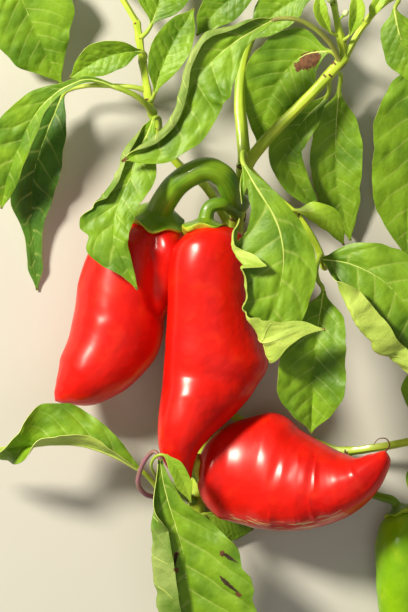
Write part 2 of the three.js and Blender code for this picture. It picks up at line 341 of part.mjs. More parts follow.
for (const { name, carrier, stalk, midrib, width } of youngLeaves) {
  leaves.push({ name, carrier, stalk, midrib, grid: 6, stalkRadii: [0.7, 0.6], thickness: YOUNG_THICKNESS,
    half: [[0, 0.7, 0.7], [0.3, width * 0.9, width * 0.9], [0.55, width, width], [1, 0.4, 0.4]],
    fold: [[0, 30, 30], [1, 15, 15]] });
}

// Runs a smooth route through its points, with a frame that doesn't twist and a straight run-on past
// both ends.
function makeRoute(points) {
  const through = points.map((p) => new THREE.Vector3(...p));
  const curve = new THREE.CatmullRomCurve3(through, false, 'centripetal');
  curve.arcLengthDivisions = 400;
  const length = curve.getLength();
  const count = Math.max(8, Math.ceil(length / ROUTE_STEP));
  const places = curve.getSpacedPoints(count);
  const tangents = places.map((_, i) => curve.getTangentAt(i / count));
  const ups = [];
  let carried = new THREE.Vector3(0, 0, 1);
  for (const tangent of tangents) {
    carried = carried.clone().addScaledVector(tangent, -carried.dot(tangent)).normalize();
    ups.push(carried);
  }
  return {
    length,
    at(distance) {
      const inside = Math.min(Math.max(distance, 0), length);
      const place = (inside / length) * count;
      const i = Math.min(Math.floor(place), count - 1);
      const f = place - i;
      const tangent = tangents[i].clone().lerp(tangents[i + 1], f).normalize();
      const centre = places[i].clone().lerp(places[i + 1], f).addScaledVector(tangent, distance - inside);
      const lifted = ups[i].clone().lerp(ups[i + 1], f);
      const normal = lifted.addScaledVector(tangent, -lifted.dot(tangent)).normalize();
      return { centre, tangent, normal, side: tangent.clone().cross(normal) };
    },
  };
}

// Reads a table of [share, value, value, ...] rows at a share, on a smooth curve that never runs past
// the rows' own values.
function readTable(table, share, column = 1) {
  const last = table.length - 1;
  if (share <= table[0][0]) return table[0][column];
  if (share >= table[last][0]) return table[last][column];
  let i = 0;
  while (share > table[i + 1][0]) i += 1;
  const rise = (k) => (table[k + 1][column] - table[k][column]) / (table[k + 1][0] - table[k][0]);
  const slope = (k) => {
    if (k === 0 || k === last) return 0;
    const [before, after] = [rise(k - 1), rise(k)];
    return before * after <= 0 ? 0 : (2 * before * after) / (before + after);
  };
  const [a, b] = [table[i], table[i + 1]];
  const span = b[0] - a[0];
  const f = (share - a[0]) / span;
  const [f2, f3] = [f * f, f * f * f];
  return (2 * f3 - 3 * f2 + 1) * a[column] + (f3 - 2 * f2 + f) * span * slope(i)
    + (3 * f2 - 2 * f3) * b[column] + (f3 - f2) * span * slope(i + 1);
}

function readFace(table, share) {
  return new THREE.Vector3(...[1, 2, 3].map((column) => readTable(table, share, column)));
}

function meshOf(vertices, triangles) {
  const geometry = new THREE.BufferGeometry();
  const numbers = vertices.flatMap((v) => [v.x, v.y, v.z]);
  geometry.setAttribute('position', new THREE.Float32BufferAttribute(numbers, 3));
  geometry.setIndex(triangles.flat());
  return geometry;
}

function solidOf(geometry) {
  const merged = mergeVertices(geometry, 1e-4);
  return new wasm.Manifold(new wasm.Mesh({
    numProp: 3,
    vertProperties: Float32Array.from(merged.attributes.position.array),
    triVerts: Uint32Array.from(merged.index.array),
  }));
}

// Keeps the biggest body of a solid, so a scrap that a cut leaves behind is dropped.
function biggestBody(solid) {
  const bodies = solid.decompose();
  bodies.sort((a, b) => b.volume() - a.volume());
  return bodies[0];
}

function geometryOf(solid) {
  const { vertProperties, triVerts } = solid.getMesh();
  const geometry = new THREE.BufferGeometry();
  geometry.setAttribute('position', new THREE.Float32BufferAttribute(vertProperties, 3));
  geometry.setIndex(Array.from(triVerts));
  return geometry;
}

// Sweeps rings along a route. stations are [distance along the route, radius]; bulge scales the radius
// at an angle and distance; height squashes the ring at a distance along the route's up direction.
function sweepRings(route, stations, sides, { bulge = () => 1, height = () => 1 } = {}) {
  const vertices = [];
  const triangles = [];
  for (const [distance, radius] of stations) {
    const { centre, normal, side } = route.at(distance);
    for (let k = 0; k < sides; k += 1) {
      const angle = (2 * Math.PI * k) / sides;
      const r = radius * bulge(angle, distance);
      vertices.push(centre.clone()
        .addScaledVector(side, r * Math.cos(angle))
        .addScaledVector(normal, r * Math.sin(angle) * height(distance)));
    }
  }
  for (let i = 0; i < stations.length - 1; i += 1) {
    for (let k = 0; k < sides; k += 1) {
      const [a, b] = [i * sides + k, i * sides + ((k + 1) % sides)];
      triangles.push([a, b, a + sides], [b, b + sides, a + sides]);
    }
  }
  const first = vertices.push(route.at(stations[0][0]).centre) - 1;
  const last = vertices.push(route.at(stations[stations.length - 1][0]).centre) - 1;
  const base = (stations.length - 1) * sides;
  for (let k = 0; k < sides; k += 1) {
    const next = (k + 1) % sides;
    triangles.push([first, next, k], [last, base + k, base + next]);
  }
  return outward(meshOf(vertices, triangles));
}

// Turns a closed mesh's triangles round where they face inwards.
function outward(geometry) {
  const p = geometry.attributes.position;
  const index = geometry.index.array;
  let volume = 0;
  const [a, b, c] = [new THREE.Vector3(), new THREE.Vector3(), new THREE.Vector3()];
  for (let i = 0; i < index.length; i += 3) {
    a.fromBufferAttribute(p, index[i]);
    b.fromBufferAttribute(p, index[i + 1]);
    c.fromBufferAttribute(p, index[i + 2]);
    volume += a.dot(b.cross(c));
  }
  if (volume < 0) {
    for (let i = 0; i < index.length; i += 3) [index[i], index[i + 1]] = [index[i + 1], index[i]];
  }
  return geometry;
}

// A tapering tube with flat ends; grown makes the fatter, longer one that is cut from its neighbours.
function tube(points, [startRadius, endRadius], sides, step, grown = 0) {
  const route = makeRoute(points);
  const count = Math.max(2, Math.ceil(route.length / step));
  const stations = [];
  for (let i = 0; i <= count; i += 1) {
    const share = i / count;
    const distance = route.length * share + grown * (2 * share - 1);
    stations.push([distance, startRadius + (endRadius - startRadius) * share + grown]);
  }
  return solidOf(sweepRings(route, stations, sides));
}

function limbSolid(limb, grown = 0) {
  return tube(limb.route, limb.radii, limb.sides, 11, grown);
}

// The stalk runs into the fruit's own axis and spreads into the calyx there.
function stalkSolid(stalk, grown = 0) {
  const fruit = fruits.find((item) => item.name === stalk.fruit);
  const route = makeRoute([...stalk.route, ...fruit.route.slice(0, 2)]);
  const neckLength = makeRoute([...stalk.route, fruit.route[0]]).length;
  const [width, depth] = stalk.cap;
  const [startRadius, endRadius] = stalk.radii;
  const neck = neckLength - depth * 0.9;
  const stations = [];
  const count = Math.ceil(neck / 6);
  for (let i = 0; i <= count; i += 1) {
    const share = i / count;
    stations.push([neck * share, startRadius + (endRadius - startRadius) * share * share]);
  }
  const flare = [[0.45, 0.3], [0.85, 0.75], [1.2, 1]];
  for (const [along, spread] of flare) {
    stations.push([neck + depth * along - grown, endRadius + (width - endRadius) * spread]);
  }
  stations.push([neck + depth * 1.55, width * 0.98]);
  stations[0][0] -= grown;
  stations[stations.length - 1][0] += grown;
  return solidOf(sweepRings(route, stations.map(([d, r]) => [d, r + grown]), 12));
}

// Each ring leans to the side where the fruit is wider. The first ring lies inside the shoulders, so
// they close in a shallow dish.
function fruitSolid(fruit, grown = 0) {
  const route = makeRoute(fruit.route);
  const { girth, height } = fruit;
  const [count, depth, turn] = fruit.lobes;
  const meanAt = (share) => (readTable(girth, share, 1) + readTable(girth, share, 2)) / 2;
  const bulge = (angle, distance) => {
    const share = distance / route.length;
    const lean = (readTable(girth, share, 1) - readTable(girth, share, 2)) / (2 * meanAt(share));
    const lobe = depth * Math.max(0, 1 - share) * Math.cos(count * angle + turn + share);
    return (1 + lean * Math.cos(angle)) * (1 + lobe);
  };
  const [shoulders, tip] = [girth[0][0], girth[girth.length - 1][0]];
  const stations = [[shoulders * route.length + DISH_DEPTH + grown, meanAt(shoulders) * 0.35]];
  for (let i = 0; i <= FRUIT_RINGS; i += 1) {
    const share = shoulders + ((tip - shoulders) * i) / FRUIT_RINGS;
    stations.push([share * route.length, meanAt(share)]);
  }
  stations.push([route.length, meanAt(tip) * 0.45]);
  return solidOf(sweepRings(route, stations.map(([d, r]) => [d, r + grown]), FRUIT_SIDES,
    { bulge, height: (distance) => readTable(height, distance / route.length) }));
}

// The part of a leaf's half width that rolls at a share of its length.
function rolledPart(leaf, share) {
  return leaf.rollSpan ? [readTable(leaf.rollSpan, share, 1), readTable(leaf.rollSpan, share, 2)] : [0, 1];
}

// One half of a leaf's cross section at a share of its length: points from the midrib to the edge and
// the way that the upper face looks at each.
function halfSection(leaf, share, frame, sideSign, cuts) {
  const column = sideSign < 0 ? 1 : 2;
  const width = Math.max(BLADE_TIP_WIDTH, readTable(leaf.half, share, column));
  const fold = THREE.MathUtils.degToRad(readTable(leaf.fold, share, column));
  const [rollFrom, rollTo] = rolledPart(leaf, share);
  const wanted = THREE.MathUtils.degToRad(leaf.roll ? readTable(leaf.roll, share, column) : 0);
  const rollable = (width * (rollTo - rollFrom)) / TIGHTEST_ROLL;
  const roll = Math.min(wanted, rollable);
  const [height, count, phase] = leaf.wave ?? [0, 0, 0];
  const wave = height * Math.sin(2 * Math.PI * (count * share + phase + (sideSign > 0 ? 0.37 : 0)))
    * Math.min(1, width / 8);
  const outwards = frame.side.clone().multiplyScalar(sideSign);
  const rolledShare = (across) => THREE.MathUtils.clamp((across - rollFrom) / (rollTo - rollFrom), 0, 1);
  const tiltAt = (across) => fold + roll * rolledShare(across);
  const points = [];
  const substeps = 12;
  const position = frame.centre.clone();
  let reached = 0;
  for (const cut of cuts) {
    const stepLength = (cut - reached) / substeps;
    for (let i = 0; i < substeps; i += 1) {
      const middle = reached + stepLength * (i + 0.5);
      const angle = tiltAt(middle);
      position.addScaledVector(outwards, Math.cos(angle) * stepLength * width);
      position.addScaledVector(frame.normal, Math.sin(angle) * stepLength * width);
    }
    reached = cut;
    const angle = tiltAt(cut);
    const look = frame.normal.clone().multiplyScalar(Math.cos(angle));
    look.addScaledVector(outwards, -Math.sin(angle));
    points.push({ place: position.clone().addScaledVector(look, wave * cut * cut), look });
  }
  return points;
}

// A leaf blade: a closed sheet of even thickness laid over the cross sections.
function bladeSolid(leaf) {
  const route = makeRoute(leaf.midrib);
  const thickness = leaf.thickness ?? BLADE_THICKNESS;
  const faces = leaf.face ?? [[0, 0, 0, 1], [1, 0, 0, 1]];
  const plainCuts = leaf.grid > 9 ? [0, 0.5, 1] : [0, 1];
  const rows = [];
  for (let i = 0; i <= leaf.grid; i += 1) {
    const share = i / leaf.grid;
    const [from, to] = rolledPart(leaf, share);
    const rolledCuts = [0, from, from + (to - from) * 0.33, from + (to - from) * 0.66, to];
    if (to < 1) rolledCuts.push(1);
    const frame = route.at(route.length * share);
    const look = readFace(faces, share);
    frame.normal = look.addScaledVector(frame.tangent, -look.dot(frame.tangent)).normalize();
    frame.side = frame.tangent.clone().cross(frame.normal);
    const left = halfSection(leaf, share, frame, -1, plainCuts);
    const right = halfSection(leaf, share, frame, 1, leaf.rollSpan ? rolledCuts : plainCuts);
    rows.push([...left.reverse(), ...right.slice(1)]);
  }
  return solidOf(sheetSolid(rows, thickness));
}

// Closes a grid of places into a sheet with an upper and a lower face and a rim.
function sheetSolid(rows, thickness) {
  const wide = rows[0].length;
  const vertices = [];
  for (const sign of [0.5, -0.5]) {
    for (const row of rows) {
      for (const { place, look } of row) {
        vertices.push(place.clone().addScaledVector(look, sign * thickness));
      }
    }
  }
  const lower = rows.length * wide;
  const triangles = [];
  for (let i = 0; i < rows.length - 1; i += 1) {
    for (let j = 0; j < wide - 1; j += 1) {
      const a = i * wide + j;
      triangles.push([a, a + 1, a + wide], [a + 1, a + wide + 1, a + wide]);
      const b = lower + a;
      triangles.push([b + 1, b, b + wide], [b + wide, b + wide + 1, b + 1]);
    }
  }
  const rim = [];
  for (let j = 0; j < wide; j += 1) rim.push(j);
  for (let i = 1; i < rows.length; i += 1) rim.push(i * wide + wide - 1);
  for (let j = wide - 2; j >= 0; j -= 1) rim.push((rows.length - 1) * wide + j);
  for (let i = rows.length - 2; i >= 1; i -= 1) rim.push(i * wide);
  for (let k = 0; k < rim.length; k += 1) {
    const [a, b] = [rim[k], rim[(k + 1) % rim.length]];
    triangles.push([b, a, lower + a], [b, lower + a, lower + b]);
  }
  return outward(meshOf(vertices, triangles));
}

function leafSolid(leaf) {
  const blade = bladeSolid(leaf);
  const step = leaf.stalkStep ?? STALK_STEP;
  const stalk = tube([...leaf.stalk, leaf.midrib[1]], leaf.stalkRadii, STALK_SIDES, step);
  return blade.add(stalk);
}

// Builds every piece and cuts each clear of what carries it.
const grown = {};
const solids = {};
const looks = {};

function keep(name, solid, colour, grownSolid) {
  solids[name] = biggestBody(solid);
  looks[name] = colour;
  if (grownSolid) grown[name] = grownSolid;
}

function cutClear(solid, names) {
  return names.reduce((rest, name) => rest.subtract(grown[name]), solid);
}

for (const limb of limbs) {
  keep(limb.name, cutClear(limbSolid(limb), limb.from ?? []), 'stem', limbSolid(limb, GAP));
}
for (const stalk of stalks) {
  keep(stalk.name, cutClear(stalkSolid(stalk), stalk.from), 'stalk', stalkSolid(stalk, GAP));
}
for (const fruit of fruits) {
  const stalk = stalks.find((item) => item.fruit === fruit.name);
  grown[fruit.name] = fruitSolid(fruit, GAP);
  keep(fruit.name, cutClear(fruitSolid(fruit), [stalk.name, ...(fruit.touches ?? [])]), fruit.colour);
}
for (const leaf of leaves) {
  keep(leaf.name, cutClear(leafSolid(leaf), [leaf.carrier, ...(leaf.also ?? [])]),
    leaf.thickness ? 'young' : 'leaf');
}

const group = new THREE.Group();
for (const [name, solid] of Object.entries(solids)) {
  const mesh = new THREE.Mesh(geometryOf(solid), colours[looks[name]]);
  mesh.name = name;
  group.add(mesh);
}
group.position.set(-MIDDLE[0], -MIDDLE[1], -MIDDLE[2]);

export default group;
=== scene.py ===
import math

import bpy
import numpy as np
from bpy.props import FloatProperty, FloatVectorProperty, IntProperty, PointerProperty
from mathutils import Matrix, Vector


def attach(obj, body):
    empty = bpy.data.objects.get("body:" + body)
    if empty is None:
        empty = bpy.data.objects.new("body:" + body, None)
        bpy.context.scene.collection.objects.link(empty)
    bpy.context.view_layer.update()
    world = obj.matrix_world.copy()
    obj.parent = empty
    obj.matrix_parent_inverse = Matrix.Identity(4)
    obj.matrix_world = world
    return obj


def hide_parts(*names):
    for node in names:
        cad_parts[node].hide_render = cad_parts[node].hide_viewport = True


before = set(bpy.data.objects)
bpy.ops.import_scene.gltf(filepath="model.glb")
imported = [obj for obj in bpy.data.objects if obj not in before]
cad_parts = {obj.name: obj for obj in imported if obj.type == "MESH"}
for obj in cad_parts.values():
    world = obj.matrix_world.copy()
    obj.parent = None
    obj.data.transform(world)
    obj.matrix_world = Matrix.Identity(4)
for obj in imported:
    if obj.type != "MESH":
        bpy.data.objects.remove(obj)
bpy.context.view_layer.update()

# A cut fruiting branch of a chilli pepper plant lying on a pale floor, seen from straight above: ribbed
# green stems, ripe red fruits, an unripe green one, and quilted leaves with rolled edges. Every place
# below is in millimetres in the branch's own frame and is turned to metres when a mesh is made.

bl_info = {
    "name": "Chilli pepper branch",
    "version": (1, 0, 0),
    "blender": (4, 5, 0),
    "location": "3D View > Sidebar > Branch",
    "description": "Grows a fruiting chilli pepper branch with its leaves, fruits and stage",
    "category": "Add Mesh",
}

MM = 0.001
MIDDLE = np.array([3.7, -6.6, -0.2])  # the branch's middle on the floor, which is the frame's origin
BODY = "root"
SEED = 11

ROUTE_STEP = 0.5  # spacing of the places that carry a route's frame
BLADE_TIP_WIDTH = 0.5  # half width left at a leaf's tip
TIGHTEST_ROLL = 1.5  # radius of the tightest rolled leaf edge
VEIN_SPACING = 0.115  # share of a blade's length from one side vein to the next
STEM_STEP = 0.8  # spacing of a stem's rings
STEM_RIBS = 5
RIB_TWIST = 1.4  # how far the ribs turn from one end of a stem to the other, in radians
STEM_LUMPS = 0.045  # share of the radius
NODE_REACH = 0.6  # a stalk that starts within this of a stem's skin makes a node
NODE_SWELLING = 0.2  # share of the radius that a node adds
BARK_SHARE, PITH_SHARE = 0.86, 0.42  # radii of the wood and the pith at the cut, as shares of the stem's
CALYX_FLARE = [[0, 0], [0.36, 0.28], [0.66, 0.72], [0.9, 0.985], [1, 1]]  # share along, share of the spread
CALYX_RUN = 1.22  # length of the flare for each millimetre of the calyx's depth
CALYX_TEETH = 5
BUD_STALK = 0.42  # radius of a bud's stalk
GRAIN_UNIT = 100  # millimetres in one unit of the grain map
# Rows and half columns of a blade: of the leaf with the slits, of those that show most, and of the rest
FINE_GRID = (280, 56)
FRONT_GRID = (150, 34)
BACK_GRID = (76, 16)
YOUNG_GRID = (44, 10)

# Main places that several pieces share
CUT_END = [-5.6, -162.4, 3.4]
FORK = [16.4, 56.4, 22]
CROWN_NODE = [56.4, 99.6, 29]
MID_END = [19.6, 112, 15]
LEFT_NODE = [-20.8, 77.6, 20]
LEFT_END = [-27, 114, 18]
LOW_NODE = [-17.6, -74.4, 20]
RIGHT_NODE = [48.4, 16, 24]

# Stems and twigs: radii at both ends, and the route of the centre line
LIMBS = [
  dict(name="main_stem", radii=[3.3, 2.9],
    route=[CUT_END, [-5.6, -148, 3.4], [-5.8, -117.6, 3.8], [-2.8, -77.6, 4.2], [2.8, -29.6, 5.4],
      [10.8, 18.4, 10], FORK]),
  dict(name="upper_stem", radii=[2.6, 1.8], route=[FORK, [27.2, 69.2, 25], [42.4, 84.4, 27], CROWN_NODE]),
  dict(name="mid_stem", radii=[2.6, 2.2],
    route=[FORK, [15.2, 70, 18], [14.4, 84, 15], [15.6, 98, 14], MID_END]),
  dict(name="tip_shoot", radii=[1.7, 1],
    route=[CROWN_NODE, [54, 110.4, 33], [51.6, 122.4, 36], [49.6, 133.6, 38]]),
  dict(name="right_shoot", radii=[1.4, 1.1],
    route=[CROWN_NODE, [62.4, 110.4, 31], [69.6, 119.2, 33], [79.2, 125.6, 33], [91.2, 128.8, 30]]),
  dict(name="left_shoot", radii=[1.9, 1.4],
    route=[[12.4, 28, 11], [0.4, 48.4, 10], [-11.6, 58.4, 14], LEFT_NODE, [-24, 94.4, 20], LEFT_END]),
  dict(name="top_left_twig", radii=[1.3, 1.1],
    route=[LEFT_END, [-38, 130, 16], [-57, 141, 14], [-77.6, 145, 14]]),
  dict(name="right_twig", radii=[1.8, 1.2],
    route=[FORK, [27.2, 45.2, 24], [37.2, 36.4, 26], [44.8, 25.2, 26], RIGHT_NODE]),
  dict(name="side_stem", radii=[1.8, 1.6],
    route=[[2.2, -34.4, 6.6], [14.4, -46, 3.4], [28, -50.4, 2], [42, -54, 2.6], [54.4, -58.4, 6],
      [68.4, -57.2, 11], [81.6, -54.8, 13], [96.4, -52, 13]]),
  dict(name="low_twig", radii=[1.6, 1.3], route=[[-3.6, -90, 5.4], [-11.2, -80.6, 12], LOW_NODE]),
]

# Fruits. girth: share of the length, then the radius on either side. height: share, then the section's
# height over its width. lobes: how many, how deep, turned how far. furrows: the turn that each follows by
# share, its depth by share, and how wide it is. crinkles: from and to by share, from and to by turn,
# height, and cells round and along. marks: from and to by share, from and to by turn, and the finish.
FRUITS = [
  dict(name="fruit_left", grid=(190, 130), skin="ripe", height=[[0, 0.94], [0.3, 0.86], [0.6, 0.9], [1, 1]],
    lobes=[3, 0.02, 0.6],
    route=[[-18.4, 36, 24], [-20, 26.4, 20.6], [-25.6, 14.4, 18.4], [-31.6, 2.4, 17.8], [-36.8, -9.6, 18.6],
      [-42.4, -19.6, 20.2], [-49.6, -28.8, 22], [-55.2, -34, 23], [-59.6, -38, 23]],
    girth=[[0.01, 6.5, 6], [0.045, 12.6, 10.4], [0.113, 18.6, 12.6], [0.264, 21.6, 14.4], [0.417, 20.4, 17.4],
      [0.57, 17, 20.6], [0.704, 14.2, 18.8], [0.841, 11.4, 13.6], [0.93, 6.4, 8.2], [0.975, 3.6, 4.4]],
    furrows=[([[0, 0.25], [0.12, 0.252], [0.22, 0.295], [0.34, 0.33], [0.42, 0.37], [0.5, 0.48]], [[0, 1.2],
      [0.1, 3], [0.34, 2.6], [0.48, 0]], 0.042), ([[0, 0.33], [0.12, 0.335], [0.22, 0.375], [0.34, 0.42],
      [0.42, 0.46], [0.5, 0.55]], [[0, -0.8], [0.1, -3], [0.3, -2.8], [0.44, 0]], 0.06)]),
  dict(name="fruit_lower", grid=(200, 130), skin="ripe",
    height=[[0, 0.84], [0.15, 0.54], [0.31, 0.64], [0.46, 0.74], [0.66, 0.88], [1, 1]], lobes=[4, 0.015, 0.3],
    route=[[-3.4, -65.8, 22.6], [9, -67, 22.6], [22, -70, 24], [34.4, -73, 27.4], [46.4, -74, 32],
      [56.4, -72.4, 37.2], [64.4, -68.4, 41.8], [70.4, -62, 44.2], [72.2, -58, 45]],
    girth=[[0.01, 6.4, 6], [0.034, 11, 10], [0.076, 15.4, 14.8], [0.152, 18.8, 21], [0.303, 18.8, 27.6],
      [0.458, 17, 23.4], [0.612, 13.8, 19.2], [0.738, 10.6, 14.6], [0.847, 7.4, 9.2], [0.93, 4.8, 6],
      [0.97, 3.6, 4], [0.99, 2.2, 2.4]], crinkles=[(0.32, 0.9, 0.05, 0.4, 0.36, 7, 22)],
    marks=[(0.2, 0.72, 0, 0.12, 1)],
    furrows=[([[0, 0.165], [1, 0.165]], [[0.28, 0], [0.42, -2.2], [0.75, -1.8], [0.9, 0]], 0.1)]),
  dict(name="fruit_middle", grid=(200, 130), skin="ripe", lobes=[3, 0.02, 2.2],
    height=[[0, 0.86], [0.3, 0.78], [0.5, 0.7], [0.6, 0.75], [0.7, 0.93], [0.78, 0.98], [1, 1]],
    route=[[0.6, 32.4, 31.2], [1.8, 23, 32.6], [1, 12.4, 32.8], [0, -1.6, 32], [-1.4, -15.6, 30.8],
      [-3, -27.6, 30.4], [-4.8, -38.8, 32.4], [-7, -49.6, 35], [-8.6, -57.6, 35.4], [-8.2, -63.6, 34.4],
      [-6, -70.4, 31.4]],
    girth=[[0.01, 6.4, 6.8], [0.03, 10, 11], [0.08, 14.6, 15.4], [0.18, 15.4, 17.4], [0.32, 14.6, 19.8],
      [0.45, 14.2, 25.6], [0.495, 13.9, 27.6], [0.53, 13.7, 27], [0.5685, 13.4, 24.9], [0.625, 13, 22.2],
      [0.68, 12.7, 18.5], [0.753, 12.1, 13], [0.827, 10.7, 8.3], [0.915, 7.2, 4.8], [0.955, 4.6, 3],
      [0.985, 2.4, 1.8]]),
  dict(name="fruit_green", grid=(130, 90), skin="unripe", height=[[0, 0.96], [1, 0.96]], lobes=[3, 0.04, 1.1],
    route=[[78.4, -82, 13], [80.4, -94, 12.4], [81.6, -110, 11.8], [81.2, -128, 10.6], [79.6, -142, 8.4],
      [77.6, -152, 6]],
    girth=[[0.015, 4.4, 4.4], [0.05, 7.6, 7.6], [0.11, 10, 10], [0.22, 12, 12], [0.4, 12.4, 12.4],
      [0.6, 10.8, 10.8], [0.78, 8, 8], [0.9, 5, 5], [0.97, 2.6, 2.6]]),
]

# Fruit stalks: radii at both ends, and the calyx's radius and depth
STALKS = [
  dict(name="stalk_left", fruit="fruit_left", radii=[4.5, 5.3], cap=[11.2, 4.6],
    route=[[14.2, 42, 16.8], [12.6, 42.6, 24], [10.6, 46.6, 31], [7.4, 52.2, 35], [1.6, 54.8, 36.4],
      [-5, 52.8, 35.4], [-11, 48.6, 32.6], [-16.2, 41.6, 28]]),
  dict(name="stalk_middle", fruit="fruit_middle", radii=[2.4, 3], cap=[9.6, 3.4],
    route=[[13.4, 36, 14.8], [11.8, 38.6, 24], [7.4, 41, 30.6], [2.2, 39.4, 31.2]]),
  dict(name="stalk_lower", fruit="fruit_lower", radii=[1.9, 2.4], cap=[6.2, 3],
    route=[[-2.9, -79, 5.6], [-8.6, -75.6, 12], [-9.8, -69.4, 19.6]]),
  dict(name="stalk_green", fruit="fruit_green", radii=[1.5, 1.8], cap=[6.4, 2.6],
    route=[[58, -58.6, 7], [59.6, -68.4, 4.4], [66.4, -75, 8], [71.6, -77, 11.4], [76, -78.4, 13]]),
]

